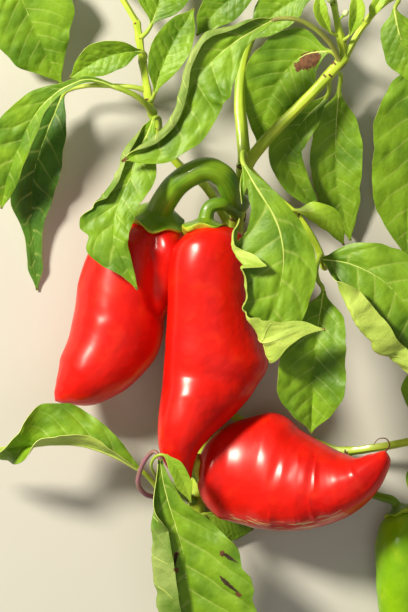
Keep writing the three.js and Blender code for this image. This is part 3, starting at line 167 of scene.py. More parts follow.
# Leaves. Rows of half, fold and roll: share of the midrib's length, then the value on the left half and
# on the right one, in millimetres of half width, degrees of rise, and degrees of roll at the edge.
# roll_span: share, then where across the half the roll starts and ends. face: share, then the way that
# the blade looks. wave: height, count and phase. holes, and the slits painted near-black as the shade seen
# through a hole: x, y, half length, half width, bearing and the least share across. stains: x, y and
# radius. dry_tip: length. The darker under face that some rolled leaves take is painted shade.
LEAVES = [
  dict(name="leaf_front_arching", under="dull", grid=FRONT_GRID, stalk_radii=[1.1, 0.9], petiole="flushed",
    stalk=[[54.6, 97.8, 28.8], [51, 104.4, 36], [44, 111, 42], [36, 114.4, 46.4], [27.6, 114, 48]],
    midrib=[[27.6, 114, 48], [23.2, 111.6, 48.6], [14.4, 106.4, 49], [6.4, 100.4, 49], [-1.2, 93.6, 48.6],
      [-5.6, 86.2, 48], [-8, 79, 47.4], [-11.4, 72, 46.8], [-17.4, 66, 46.6], [-25.2, 61.2, 46.8],
      [-32.8, 57.6, 47.4]],
    half=[[0, 1, 1], [0.06, 2, 4.6], [0.18, 4.4, 10.6], [0.3, 11.2, 14], [0.42, 15.6, 11.6], [0.53, 14.8, 8.4],
      [0.62, 13, 7.8], [0.7, 11.6, 7.8], [0.8, 9.4, 7.6], [0.9, 5, 5], [1, 0.5, 0.5]],
    fold=[[0, 20, 25], [0.18, 12, 10], [0.3, 8, 6], [0.42, 8, 15], [0.53, 10, 16], [0.62, 10, 16],
      [0.8, 12, 18], [1, 15, 20]],
    roll=[[0, 0, 30], [0.08, 0, 120], [0.18, 0, 168], [0.85, 0, 168], [0.93, 0, 110], [1, 0, 20]],
    roll_span=[[0, 0.5, 0.94], [0.18, 0.51, 0.93], [0.3, 0.61, 0.93], [0.42, 0.51, 0.9], [0.53, 0.3, 0.83],
      [0.62, 0.256, 0.833], [0.8, 0.25, 0.84], [1, 0.3, 0.94]], wave=[0.4, 4.3, 0.1], dry_tip=2.6),
  dict(name="leaf_left_hanging", under="dull", grid=FRONT_GRID, stalk_radii=[1, 0.9],
    stalk=[[-18.2, 71, 18.3], [-17.6, 72.8, 26], [-18.4, 75.6, 31.6], [-20.4, 74.8, 34]],
    midrib=[[-20.4, 74.8, 34], [-22.8, 68.4, 36.4], [-26.8, 61.6, 38.4], [-29.2, 52.4, 40.6],
      [-33.2, 42.4, 42.6], [-36, 33.6, 43.4], [-36, 24.8, 43.4], [-32, 17.6, 43], [-29.2, 12, 42.6],
      [-26.6, 6.4, 42]],
    half=[[0, 1, 1], [0.092, 4, 5], [0.2, 8, 8.4], [0.328, 9.8, 9.6], [0.43, 8.8, 10], [0.5, 8, 11],
      [0.56, 7.7, 11.4], [0.61, 7.5, 13.8], [0.65, 7.1, 13.4], [0.68, 6.8, 9.8], [0.72, 6.4, 11.6],
      [0.76, 5.4, 9.4], [0.83, 3.4, 6.4], [0.916, 1.8, 2.6], [1, 0.5, 0.5]],
    fold=[[0, 20, 10], [0.12, 16, -4], [0.3, 14, -6], [0.5, 10, -8], [0.8, 14, 0], [1, 10, 10]],
    roll=[[0, 0, 20], [0.12, 0, 120], [0.2, 0, 165], [0.5, 0, 165], [0.56, 0, 100], [0.61, 0, 20], [0.66, 0, 0],
      [1, 0, 0]],
    roll_span=[[0, 0.5, 0.94], [0.2, 0.32, 0.86], [0.335, 0.41, 0.875], [0.43, 0.43, 0.88], [0.5, 0.48, 0.89],
      [0.56, 0.73, 0.94], [1, 0.8, 0.94]], wave=[0.9, 4, 0.4], dry_tip=1.2),
  dict(name="leaf_low_left", grid=FRONT_GRID, stalk_radii=[1.1, 0.9],
    stalk=[LOW_NODE, [-21.6, -69.6, 24], [-25.2, -66, 27]],
    midrib=[[-25.2, -66, 27], [-36.8, -59.6, 30], [-48.8, -55.6, 31], [-60.8, -55.2, 30], [-71.6, -56.8, 28],
      [-82, -57, 26], [-94, -59.6, 22]],
    half=[[0, 1, 1], [0.1, 2.6, 3.4], [0.186, 4, 7], [0.27, 5.4, 9.6], [0.363, 6.2, 12.8], [0.45, 7, 15.8],
      [0.532, 7.2, 16.4], [0.61, 7, 13.4], [0.69, 7, 10], [0.83, 7, 8], [0.92, 4, 5], [1, 0.5, 0.5]],
    face=[[0, 0, 0.3, 1], [0.55, 0, 0.1, 1], [0.7, 0, -0.6, 0.8], [0.8, 0, -0.95, 0.2], [1, 0, -0.95, 0.1]],
    fold=[[0, 70, 20], [0.2, 100, 10], [0.35, 112, 4], [0.55, 108, 6], [0.72, 60, 20], [1, 10, 10]],
    wave=[0.6, 3.2, 0.2]),
  dict(name="leaf_low_front", under="dull", grid=FINE_GRID, stalk_radii=[1.1, 0.9], petiole="purple",
    stalk=[[-14.2, -78, 15.8], [-19, -76.8, 23], [-23.6, -75.4, 28.6], [-26.4, -71.4, 32.4],
      [-25.4, -65.4, 35.4], [-22.8, -60.4, 38], [-19.8, -58, 40], [-17.6, -61, 41.4]],
    midrib=[[-17.6, -61, 41.4], [-16.4, -69.6, 41.4], [-14.4, -77.6, 40.6], [-12, -85.6, 39.4],
      [-9.6, -93.6, 38.2], [-7.6, -101.6, 37], [-6.6, -109.6, 35.6], [-5.8, -117.6, 34.2], [-3.6, -134, 30.6],
      [-0.8, -152, 25]],
    half=[[0, 1, 1], [0.05, 1.8, 2.2], [0.118, 3.8, 5], [0.203, 6.4, 11.4], [0.29, 12.6, 18.6],
      [0.378, 18, 22.4], [0.464, 22.8, 24.6], [0.548, 26.6, 24.8], [0.631, 27, 23.6], [0.804, 21, 15],
      [0.92, 10.6, 7], [1, 0.5, 0.5]], fold=[[0, 20, 30], [0.2, 12, 0], [0.4, 10, -4], [1, 14, 14]],
    roll=[[0, 0, 60], [0.16, 0, 120], [0.28, 0, 172], [0.8, 0, 172], [1, 0, 20]],
    roll_span=[[0, 0.46, 0.7], [1, 0.46, 0.7]], wave=[0.5, 3, 0.7],
    # These slits are not cut: they are painted near-black as the shade seen through holes, mixed with browner
    # rotted tissue.
    painted_shade_slits=[[10.4, -100.6, 3.4, 0.7, -33, 0], [9.8, -111.2, 4.8, 0.8, -42, 0],
      [-19.4, -102.6, 11.4, 0.8, 88, 0.75], [-11.4, -101.6, 3, 0.6, 80, 0]],
    stains=[[-11.2, -98.6, 1], [-11, -105.4, 1.2], [7.4, -99, 0.9], [13.6, -115.6, 1]]),
  dict(name="leaf_low_wing", stalk_radii=[0.7, 0.6], age="young",
    stalk=[[-11.2, -80.6, 12], [-12.6, -76.4, 22], [-19.4, -68, 34], [-21, -62.8, 42], [-18.6, -59.6, 45.4],
      [-15.4, -59.4, 46.4]],
    midrib=[[-15.4, -59.4, 46.4], [-10.8, -64.8, 46.6], [-7.4, -72, 45], [-5.2, -78.4, 42.4]],
    half=[[0, 0.8, 0.8], [0.3, 3, 3.4], [0.6, 3.2, 3.6], [1, 0.4, 0.4]], fold=[[0, 20, 20], [1, 0, 10]]),
  dict(name="leaf_under_fruit", stalk_radii=[0.9, 0.8],
    stalk=[[-3.6, -87, 5.3], [-1, -84.4, 7], [1.4, -84, 7.2]],
    midrib=[[1.4, -84, 7.2], [7, -85.6, 6.8], [13.4, -87.6, 6], [20, -90.4, 4.6]],
    half=[[0, 1, 1], [0.25, 3, 5.6], [0.5, 2.6, 8.4], [0.75, 1.8, 7.4], [0.9, 1, 3.6], [1, 0.5, 0.5]],
    fold=[[0, 25, 10], [1, 5, -20]]),
  dict(name="leaf_front_curled", grid=FRONT_GRID, stalk_radii=[1.3, 1],
    stalk=[FORK, [16.6, 60.6, 34], [15.4, 60.6, 50], [15.8, 56, 58.6]],
    midrib=[[15.8, 56, 58.6], [21.2, 46.4, 61], [26.8, 37.6, 62], [30.4, 28.4, 62.4], [31.6, 18.4, 62.4],
      [30.4, 8.4, 61.6], [28, -0.8, 61], [24.8, -8, 61], [22, -12.2, 63], [24, -14.4, 67.4],
      [30.4, -12.6, 70.6], [38.4, -9.6, 71.6], [48, -9.2, 72]],
    half=[[0, 1, 1], [0.05, 2, 4.4], [0.107, 4.4, 9.4], [0.208, 7, 20.2], [0.304, 9.8, 25.4], [0.34, 11, 26.4],
      [0.36, 12, 28], [0.38, 12.6, 29.4], [0.4, 12.8, 28.6], [0.42, 13, 27.2], [0.432, 13, 22],
      [0.45, 13, 18.8], [0.5, 12.4, 17.2], [0.58, 12, 15], [0.65, 11.4, 12.4], [0.71, 11, 10.6],
      [0.77, 8.6, 9.4], [0.84, 4.6, 6.6], [0.92, 2.4, 3.4], [1, 0.4, 0.4]],
    face=[[0, 0, 0, 1], [0.58, 0, 0.1, 1], [0.66, 0.3, 0.4, 0.85], [0.72, 0.8, 0.5, 0.1],
      [0.78, 0.4, 0.3, -0.9], [1, 0, 0, -1]],
    fold=[[0, 20, 20], [0.15, 4, -10], [0.3, -8, -12], [0.5, -8, 2], [0.68, -4, 10], [0.8, 0, 0], [1, 0, 0]],
    roll=[[0, 0, 60], [0.1, 0, 120], [0.28, 0, 140], [0.34, 0, 168], [0.42, 0, 172], [0.445, 0, 115],
      [0.56, 0, 120], [0.68, 0, 60], [0.74, 0, 0], [1, 0, 0]],
    roll_span=[[0, 0.7, 0.96], [0.3, 0.7, 0.96], [0.34, 0.67, 0.88], [0.36, 0.61, 0.8], [0.38, 0.563, 0.745],
      [0.4, 0.536, 0.725], [0.42, 0.5, 0.7], [0.435, 0.6, 0.88], [0.45, 0.7, 0.96], [1, 0.7, 0.96]],
    wave=[0.5, 5, 0.3], holes=[[16, 35.6, 9.4, 2.1, 82, 0]], dry_tip=1.4, stains=[[17.8, 38, 0.7]]),
  dict(name="leaf_right", grid=FRONT_GRID, stalk_radii=[1.1, 0.9],
    stalk=[RIGHT_NODE, [50.2, 18.2, 33], [49.6, 19.4, 42], [47, 18.6, 48]],
    midrib=[[47, 18.6, 48], [57.6, 17, 52], [70.4, 10.6, 54], [81.6, -1.4, 53], [91.2, -17.6, 47],
      [99.2, -35.6, 38]],
    half=[[0, 1, 1], [0.08, 5, 9], [0.16, 9.6, 21], [0.34, 14, 31], [0.52, 15, 33.5], [0.72, 11, 24],
      [0.88, 5, 10], [1, 0.5, 0.5]], fold=[[0, 15, 16], [0.5, -6, 2], [1, 5, 5]],
    roll=[[0, 0, 60], [0.14, 0, 150], [0.24, 0, 172], [0.75, 0, 172], [1, 0, 20]],
    roll_span=[[0, 0.58, 0.74], [1, 0.58, 0.74]], wave=[0.6, 3.5, 0.5]),
  dict(name="leaf_right_small", stalk_radii=[0.8, 0.7], age="young",
    stalk=[[37.2, 36.4, 26], [36.2, 38.4, 31], [37.2, 38.2, 36]],
    midrib=[[37.2, 38.2, 36], [44.4, 37.4, 39], [51.2, 33, 38], [56, 24.4, 35]],
    half=[[0, 0.8, 0.8], [0.25, 4.4, 4], [0.55, 5.4, 5], [0.8, 3, 3], [1, 0.4, 0.4]],
    fold=[[0, -10, -20], [0.6, -25, -30], [1, -10, -10]]),
  dict(name="leaf_behind_fruits", stalk_radii=[1, 0.9],
    stalk=[[46.6, 20.6, 25.2], [45, 15, 32], [45.6, 10, 42], [47.6, 6, 49]],
    midrib=[[47.6, 6, 49], [45.2, -9.6, 52], [43.6, -29.6, 52], [42.8, -50.8, 46]],
    half=[[0, 1, 1], [0.18, 10, 9], [0.42, 12.6, 14], [0.68, 13, 15], [0.85, 8.4, 9.4], [1, 0.5, 0.5]],
    fold=[[0, 15, 15], [0.5, 10, 14], [1, 20, 20]], wave=[0.9, 3, 0.15]),
  dict(name="leaf_behind_crown", stalk_radii=[1.1, 0.9],
    stalk=[[53.2, 96.4, 28.6], [53.4, 100, 23.6], [50.4, 102.6, 20]],
    midrib=[[50.4, 102.6, 20], [40.4, 101, 17], [31, 92, 14], [25, 79, 10.6], [21.6, 65, 7.6]],
    half=[[0, 1, 1], [0.18, 12, 12], [0.42, 13, 15], [0.68, 9, 10], [0.88, 4, 4], [1, 0.5, 0.5]],
    fold=[[0, 10, 10], [1, -5, 10]], stains=[[41.4, 98.6, 3.4], [44.6, 100.4, 2.4], [38.6, 96.6, 2]]),
  dict(name="leaf_crown_left", stalk_radii=[0.9, 0.8], stalk=[[52, 121, 35.6], [48, 124, 30], [44, 124.6, 26]],
    midrib=[[44, 124.6, 26], [36.4, 122.8, 24], [28, 117, 22], [19.6, 107, 20]],
    half=[[0, 1, 1], [0.25, 7, 7], [0.5, 8, 9], [0.8, 5, 5], [1, 0.5, 0.5]], fold=[[0, 15, 15], [1, 5, 5]]),
  dict(name="leaf_inner_curved", stalk_radii=[0.9, 0.8],
    stalk=[[49.4, 92.6, 28], [50.4, 88.6, 22], [49.6, 84.4, 18]],
    midrib=[[49.6, 84.4, 18], [39.2, 73.6, 17], [33.2, 62.4, 16], [36.8, 50.4, 15], [46.4, 39.2, 14]],
    half=[[0, 1, 1], [0.2, 6, 6], [0.45, 6.5, 8], [0.72, 5.5, 6], [0.9, 3, 3], [1, 0.5, 0.5]],
    fold=[[0, 15, 25], [1, 5, 20]]),
  dict(name="leaf_inner_long", stalk_radii=[1, 0.9], stalk=[[51.2, 94.4, 28.3], [55, 93, 20], [54.4, 86.4, 14]],
    midrib=[[54.4, 86.4, 14], [53.2, 70.4, 10], [53.6, 50.4, 7], [59.2, 26.4, 4]],
    half=[[0, 1, 1], [0.16, 8, 8], [0.42, 11, 10], [0.7, 9, 9], [0.88, 4, 4], [1, 0.5, 0.5]],
    fold=[[0, 20, 10], [1, 5, 5]]),
  dict(name="leaf_far_right", stalk_radii=[1.2, 1],
    stalk=[[91.2, 128.8, 30], [95, 118, 28], [92, 108, 22], [88, 100.4, 18]],
    midrib=[[88, 100.4, 18], [85.6, 78.4, 12], [83.2, 50.4, 6], [81.6, 19.2, 0.8]],
    half=[[0, 1, 1], [0.16, 13, 12], [0.4, 17, 17], [0.68, 14, 15], [0.88, 6, 7], [1, 0.5, 0.5]],
    fold=[[0, 10, 5], [0.5, 4, 12], [1, 5, 5]]),
  dict(name="leaf_shaded_right", stalk_radii=[0.9, 0.8],
    stalk=[[76, 123.8, 33.2], [78, 122, 37.6], [76, 118.8, 39.6]],
    midrib=[[76, 118.8, 39.6], [78, 108.8, 40], [82, 99.2, 39], [88, 87.2, 36]],
    half=[[0, 1, 1], [0.22, 7, 7], [0.5, 9, 9], [0.8, 5, 5], [1, 0.5, 0.5]],
    fold=[[0, -10, -15], [1, -10, -10]]),
  dict(name="leaf_top_left", stalk_radii=[1.1, 0.9],
    stalk=[[-77.6, 145, 14], [-82, 143, 16], [-79.2, 137.6, 16]],
    midrib=[[-79.2, 137.6, 16], [-72.8, 122.4, 14], [-64.8, 104, 10], [-57.6, 90, 5]],
    half=[[0, 1, 1], [0.2, 14, 12], [0.45, 18, 17], [0.7, 11, 13], [0.88, 4, 5], [1, 0.5, 0.5]],
    fold=[[0, 10, 10], [1, 5, 5]]),
  # This leaf's darker shade tint is painted shade: a darker copy of the leaf green.
  dict(name="leaf_left_low", stalk_radii=[1, 0.9], age="shade",
    stalk=[[-22.6, 86.6, 20.3], [-28.6, 88, 21.4], [-38, 88.6, 18.6], [-48, 88.6, 15.6], [-56.8, 85.6, 14]],
    midrib=[[-56.8, 85.6, 14], [-63.2, 70.4, 12], [-68.4, 54.4, 9], [-69.6, 40.4, 6.4], [-68.8, 26.4, 4],
      [-67.6, 6.4, 1]],
    half=[[0, 1, 1], [0.1, 5, 6], [0.2, 8.6, 8.6], [0.4, 10.4, 11], [0.56, 8.4, 8.8], [0.68, 4.6, 4.6],
      [0.76, 3.4, 3.4], [0.88, 3.2, 3.2], [1, 0.5, 0.5]], fold=[[0, 15, 15], [1, 10, 5]]),
  dict(name="leaf_left_arching", grid=FRONT_GRID, stalk_radii=[1.3, 1.1],
    stalk=[LEFT_NODE, [-23.6, 81.2, 27], [-28, 84.6, 31], [-35.2, 87.6, 33]],
    midrib=[[-35.2, 87.6, 33], [-46.4, 90.6, 35], [-56.8, 86.8, 34], [-65.6, 79.2, 31], [-72.8, 67.2, 27],
      [-78.4, 53.6, 22], [-81.6, 39.2, 16]],
    half=[[0, 1, 1], [0.25, 1.6, 2], [0.42, 3, 8], [0.6, 5, 12], [0.78, 5, 10], [0.92, 3, 5], [1, 0.5, 0.5]],
    fold=[[0, 30, 10], [1, 20, 5]]),
  dict(name="leaf_left_pointing", stalk_radii=[0.9, 0.8],
    stalk=[[-24.6, 98, 19.6], [-23.4, 100.6, 23], [-25.6, 102.4, 26]],
    midrib=[[-25.6, 102.4, 26], [-33.6, 101.4, 28], [-43, 98.4, 27], [-54, 91.6, 23.6]],
    half=[[0, 1, 1], [0.25, 6, 6], [0.5, 7, 8], [0.8, 4, 4.5], [1, 0.5, 0.5]], fold=[[0, 15, 40], [1, 5, 30]]),
  dict(name="leaf_left_upright", stalk_radii=[0.9, 0.8],
    stalk=[[-21.8, 82.4, 20.3], [-20.4, 83.6, 25], [-19.6, 86, 28]],
    midrib=[[-19.6, 86, 28], [-17.2, 94.6, 30], [-12.4, 105.4, 30], [-4, 119.4, 28]],
    half=[[0, 1, 1], [0.25, 6, 6], [0.5, 8, 8.5], [0.8, 5, 5], [1, 0.5, 0.5]], fold=[[0, 25, 20], [1, 10, 10]]),
  dict(name="leaf_upper_back", stalk_radii=[0.9, 0.8],
    stalk=[[-26, 107.6, 18.6], [-23, 110, 21], [-21, 113.4, 21.4]],
    midrib=[[-21, 113.4, 21.4], [-18, 122, 20.4], [-15.2, 131, 18], [-14.4, 140.4, 14]],
    half=[[0, 1, 1], [0.25, 9, 9], [0.5, 11, 11], [0.8, 7, 7], [1, 0.5, 0.5]], fold=[[0, 15, 15], [1, 5, 5]]),
  dict(name="leaf_upper_back_right", stalk_radii=[0.9, 0.8],
    stalk=[MID_END, [22.4, 121, 17], [25.4, 130, 22], [23.2, 132.8, 25]],
    midrib=[[23.2, 132.8, 25], [12.8, 124.8, 24], [4, 117.4, 22], [-3, 108.8, 20]],
    half=[[0, 1, 1], [0.25, 6, 6], [0.5, 7.5, 8], [0.8, 4.5, 5], [1, 0.5, 0.5]], fold=[[0, 15, 15], [1, 5, 5]]),
  dict(name="leaf_side_upper", stalk_radii=[0.9, 0.8],
    stalk=[[94.6, -52.4, 13], [94.4, -49.6, 17], [91.4, -46.6, 19]],
    midrib=[[91.4, -46.6, 19], [87.2, -39.4, 19], [84.8, -32, 17], [84, -24, 14]],
    half=[[0, 1, 1], [0.3, 5, 5], [0.6, 6, 6], [1, 0.5, 0.5]], fold=[[0, 20, 20], [1, 5, 5]]),
  dict(name="leaf_side_lower", stalk_radii=[0.9, 0.8],
    stalk=[[95.4, -52, 13], [97.4, -56, 13.6], [95.4, -59.4, 13]],
    midrib=[[95.4, -59.4, 13], [90.4, -65, 12], [86, -71, 13], [83.6, -77.4, 16.6]],
    half=[[0, 1, 1], [0.3, 5, 5], [0.6, 6, 6], [1, 0.5, 0.5]], fold=[[0, 15, 15], [1, 5, 5]]),
]

YOUNG_LEAVES = [
  dict(name="young_leaf_right", stalk=[[64.4, 114, 31.8], [66.4, 115.4, 35]],
    midrib=[[66.4, 115.4, 35], [69.4, 121, 37.4], [74, 127, 38]], width=2.6),
  dict(name="young_leaf_left", stalk=[[50.2, 130.6, 37.4], [48.6, 131.4, 41]],
    midrib=[[48.6, 131.4, 41], [42, 136.6, 43], [35, 140.4, 42]], width=5),
  dict(name="young_leaf_end", stalk=[[49.8, 132.4, 37.8], [50.6, 135.4, 41]],
    midrib=[[50.6, 135.4, 41], [53.4, 142, 42], [57.6, 149, 40]], width=4.6),
  dict(name="young_leaf_front", stalk=[[55, 106, 31.4], [58.6, 108.6, 36]],
    midrib=[[58.6, 108.6, 36], [61, 116.6, 40], [60.4, 127.4, 42]], width=3.4),
  dict(name="young_leaf_side", stalk=[[54.6, 108, 32.2], [50.4, 109.6, 36]],
    midrib=[[50.4, 109.6, 36], [46.6, 117.6, 40], [46.4, 127, 41]], width=3),
]

for young in YOUNG_LEAVES:
    width = young.pop("width")
    LEAVES.append(dict(young, age="young", stalk_radii=[0.7, 0.6],
        half=[[0, 0.7, 0.7], [0.3, width * 0.9, width * 0.9], [0.55, width, width], [1, 0.4, 0.4]],
        fold=[[0, 30, 30], [1, 15, 15]]))

# Flower buds at the growing tip, and the dried thread at the lower fruit's tip
BUD_PLACES = [[51.4, 124.4, 37.2], [52.4, 119.6, 36], [50, 129.6, 38], [53.6, 114, 34.6], [50.8, 127, 38],
  [55, 108, 32]]
DRIED_STYLE = [[72.4, -58, 45], [74, -55.4, 47], [72.4, -52.8, 48.6], [69.4, -53, 49], [67.6, -55.2, 48.2]]

# Stage, in metres: the frame's height at the height of most leaves, and each light's name, place, width,
# power in watts and colour
CAMERA_HEIGHT = 3.0
FOCUS_HEIGHT = 0.036
FRAME_HEIGHT = 0.2448
AMBIENT = 0.15
SKY = (1.0, 0.97, 0.88, 1)
FLOOR_REACH = 6.0
FLOOR_CLOUD = (0.75, 0.75, 0.75, 1)
LIGHTS = [
    ("key", (-0.74, 0.52, 0.84), 0.26, 25.0, (1.0, 0.93, 0.77)),
    ("fill", (0.1, -0.35, 1.1), 0.9, 2.4, (1.0, 0.97, 0.92)),
]

# Routes and tables


def unit(vectors):
    return vectors / np.maximum(np.linalg.norm(vectors, axis=-1, keepdims=True), 1e-12)


def curve_through(points, per_leg=48):
    """Close-set places on the centripetal curve through the points."""
    p = np.array(points, float)
    run = np.vstack([2 * p[0] - p[1], p, 2 * p[-1] - p[-2]])
    t = np.linspace(0, 1, per_leg, endpoint=False)[:, None]
    legs = []
    for a, b, c, d in zip(run, run[1:], run[2:], run[3:]):
        ab, bc, cd = (math.sqrt(np.linalg.norm(q - r)) for q, r in ((b, a), (c, b), (d, c)))
        leave = ((b - a) / ab - (c - a) / (ab + bc) + (c - b) / bc) * bc
        arrive = ((c - b) / bc - (d - b) / (bc + cd) + (d - c) / cd) * bc
        bend = (3 * (c - b) - 2 * leave - arrive) * t**2
        legs.append(b + leave * t + bend + (2 * (b - c) + leave + arrive) * t**3)
    return np.vstack([*legs, p[-1:]])


class Route:
    """A smooth line through its points, with a frame carried along it that doesn't twist."""

    def __init__(self, points, smooth=True):
        close = curve_through(points) if smooth else np.array(points, float)
        walked = np.concatenate([[0.0], np.cumsum(np.linalg.norm(np.diff(close, axis=0), axis=1))])
        self.length = walked[-1]
        self.walk = np.linspace(0, self.length, max(8, math.ceil(self.length / ROUTE_STEP)) + 1)
        self.places = np.column_stack([np.interp(self.walk, walked, close[:, k]) for k in range(3)])
        self.tangents = unit(np.gradient(self.places, axis=0))
        carried = np.array([0.0, 0.0, 1.0])
        ups = []
        for tangent in self.tangents:
            carried = unit(carried - tangent * carried.dot(tangent))
            ups.append(carried)
        self.ups = np.array(ups)

    def at(self, distances):
        """Centre, tangent, normal and side at the distances, with a straight run-on past both ends."""
        distances = np.atleast_1d(np.asarray(distances, float))
        inside = np.clip(distances, 0, self.length)
        centre, tangent, up = (
            np.column_stack([np.interp(inside, self.walk, line[:, k]) for k in range(3)])
            for line in (self.places, self.tangents, self.ups)
        )
        tangent = unit(tangent)
        centre = centre + tangent * (distances - inside)[:, None]
        normal = unit(up - tangent * (up * tangent).sum(1, keepdims=True))
        return centre, tangent, normal, np.cross(tangent, normal)

    def nearest(self, point):
        """Distance along the route of the place nearest to a point, and how far off it is."""
        gaps = np.linalg.norm(self.places - np.array(point, float), axis=1)
        return self.walk[gaps.argmin()], gaps.min()


def read_table(table, share, column=1):
    """Reads [share, value, value, ...] rows at shares, never running past the rows' own values."""
    rows = np.array(table, float)
    x, y = rows[:, 0], rows[:, column]
    rise = np.diff(y) / np.diff(x)
    before, after = rise[:-1], rise[1:]
    total = np.where(before * after > 0, before + after, 1.0)
    slope = np.concatenate([[0.0], np.where(before * after > 0, 2 * before * after / total, 0.0), [0.0]])
    s = np.clip(share, x[0], x[-1])
    i = np.clip(np.searchsorted(x, s, side="right") - 1, 0, len(x) - 2)
    span = x[i + 1] - x[i]
    f = (s - x[i]) / span
    return (
        (2 * f**3 - 3 * f**2 + 1) * y[i] + (f**3 - 2 * f**2 + f) * span * slope[i]
        + (3 * f**2 - 2 * f**3) * y[i + 1] + (f**3 - f**2) * span * slope[i + 1]
    )


def ease(low, high, value):
    """0 below low, 1 above high, and a smooth rise between them."""
    t = np.clip((value - low) / (high - low), 0, 1)
    return t * t * (3 - 2 * t)


def uneven(seed, across, along, cells_across, cells_along, wrap=False):
    """Smooth seeded unevenness from -1 to 1 over two coordinates that run from 0 to 1."""
    dice = np.random.default_rng(seed)
    values = dice.uniform(-1, 1, (cells_across + 2, cells_along + 2))
    if wrap:
        values[cells_across] = values[0]
        values[cells_across + 1] = values[1]
    x = np.clip(across, 0, 1) * cells_across
    y = np.clip(along, 0, 1) * cells_along
    i = np.minimum(x.astype(int), cells_across - (0 if wrap else 1))
    j = np.minimum(y.astype(int), cells_along - 1)
    fx, fy = ease(0, 1, x - i), ease(0, 1, y - j)
    low = values[i, j] * (1 - fx) + values[i + 1, j] * fx
    high = values[i, j + 1] * (1 - fx) + values[i + 1, j + 1] * fx
    return low * (1 - fy) + high * fy


# Meshes


class Shape:
    """Gathers patches of faces, each with its finish, into one mesh."""

    def __init__(self):
        self.places, self.corners, self.sizes, self.finishes = [], [], [], []
        self.grain, self.veins = [], []
        self.count = 0

    def add(self, places, faces, finishes, grain=None, veins=None):
        """faces is an array of corner numbers, one row a face; grain and veins are map places a corner."""
        places = np.asarray(places, float).reshape(-1, 3)
        faces = np.asarray(faces, int)
        blank = np.zeros((faces.size, 2))
        self.places.append(places)
        self.corners.append(faces.ravel() + self.count)
        self.sizes.append(np.full(len(faces), faces.shape[1]))
        self.finishes.append(np.broadcast_to(finishes, (len(faces),)).astype(int))
        self.grain.append(blank if grain is None else grain.reshape(-1, 2))
        self.veins.append(blank if veins is None else veins.reshape(-1, 2))
        self.count += len(places)

    def add_tube(self, rings, finishes, grain=None, caps=(True, True), cap_finish=None):
        """Joins rings of places, one array row each, into a tube, with a fan over each end."""
        rows, around = rings.shape[:2]
        i, k = np.meshgrid(np.arange(rows - 1), np.arange(around), indexing="ij")
        after = (k + 1) % around
        low, high = i * around, (i + 1) * around
        faces = np.stack([low + k, high + k, high + after, low + after], -1)
        marks = None
        if grain is not None:  # one more column than the ring has places, so that the map doesn't wrap
            marks = np.stack([grain[i, k], grain[i + 1, k], grain[i + 1, k + 1], grain[i, k + 1]], -2)
        self.add(rings, faces.reshape(-1, 4), np.broadcast_to(finishes, i.shape).ravel(), marks)
        for end, wanted in zip((0, rows - 1), caps):
            if wanted:
                ring = np.arange(around)
                fan = np.stack([np.full(around, around), ring, (ring + 1) % around], -1)
                fan = fan if end == 0 else fan[:, ::-1]
                finish = np.ravel(finishes)[0] if cap_finish is None else cap_finish
                self.add(np.vstack([rings[end], rings[end].mean(0)]), fan, finish)

    def make(self, name, finishes, node=None, sharp=48):
        """Makes the piece, in metres, with its materials and the body that it rides on."""
        mesh = bpy.data.meshes.new(name)
        places = (np.vstack(self.places) - MIDDLE) * MM
        sizes = np.concatenate(self.sizes)
        corners = np.concatenate(self.corners)
        mesh.vertices.add(len(places))
        mesh.vertices.foreach_set("co", places.astype(np.float32).ravel())
        mesh.loops.add(len(corners))
        mesh.loops.foreach_set("vertex_index", corners.astype(np.int32))
        mesh.polygons.add(len(sizes))
        mesh.polygons.foreach_set("loop_start", np.concatenate([[0], np.cumsum(sizes)[:-1]]).astype(np.int32))
        mesh.polygons.foreach_set("material_index", np.concatenate(self.finishes).astype(np.int32))
        mesh.update(calc_edges=True)
        for label, marks in (("Grain", self.grain), ("Veins", self.veins)):
            layer = mesh.uv_layers.new(name=label)
            layer.data.foreach_set("uv", np.vstack(marks).astype(np.float32).ravel())
        for finish in finishes:
            mesh.materials.append(finish)
        mesh.validate()
        mesh.shade_smooth()
        mesh.set_sharp_from_angle(angle=math.radians(sharp))
        piece = bpy.data.objects.new(name, mesh)
        bpy.context.scene.collection.objects.link(piece)
        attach(piece, BODY)
        if node:
            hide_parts(node)
        return piece


def ring_places(route, distances, radii, around, height=1.0):
    """Rings round a route. radii holds a radius for each distance and angle."""
    centre, _, normal, side = route.at(distances)
    angles = 2 * math.pi * np.arange(around) / around
    radii = np.broadcast_to(radii, (len(centre), around))
    return (
        centre[:, None] + side[:, None] * (radii * np.cos(angles))[..., None]
        + normal[:, None] * (radii * np.sin(angles) * height)[..., None]
    )


def tube_grain(distances, radius, around):
    """Grain map places: round the tube, and along it."""
    round_it = np.linspace(0, 2 * math.pi * radius, around + 1)
    across, along = np.meshgrid(round_it, distances)
    return np.stack([across, along], -1) / GRAIN_UNIT


# Stems, fruit stalks and calyxes


def node_places(limb, route):
    """Distances along a limb at which leaves, stalks and twigs leave it."""
    starts = [leaf["stalk"][0] for leaf in LEAVES]
    starts += [item["route"][0] for item in STALKS + LIMBS if item is not limb]
    found = []
    for start in starts:
        distance, off = route.nearest(start)
        if off < limb["radii"][0] + NODE_REACH:
            found.append(distance)
    return found


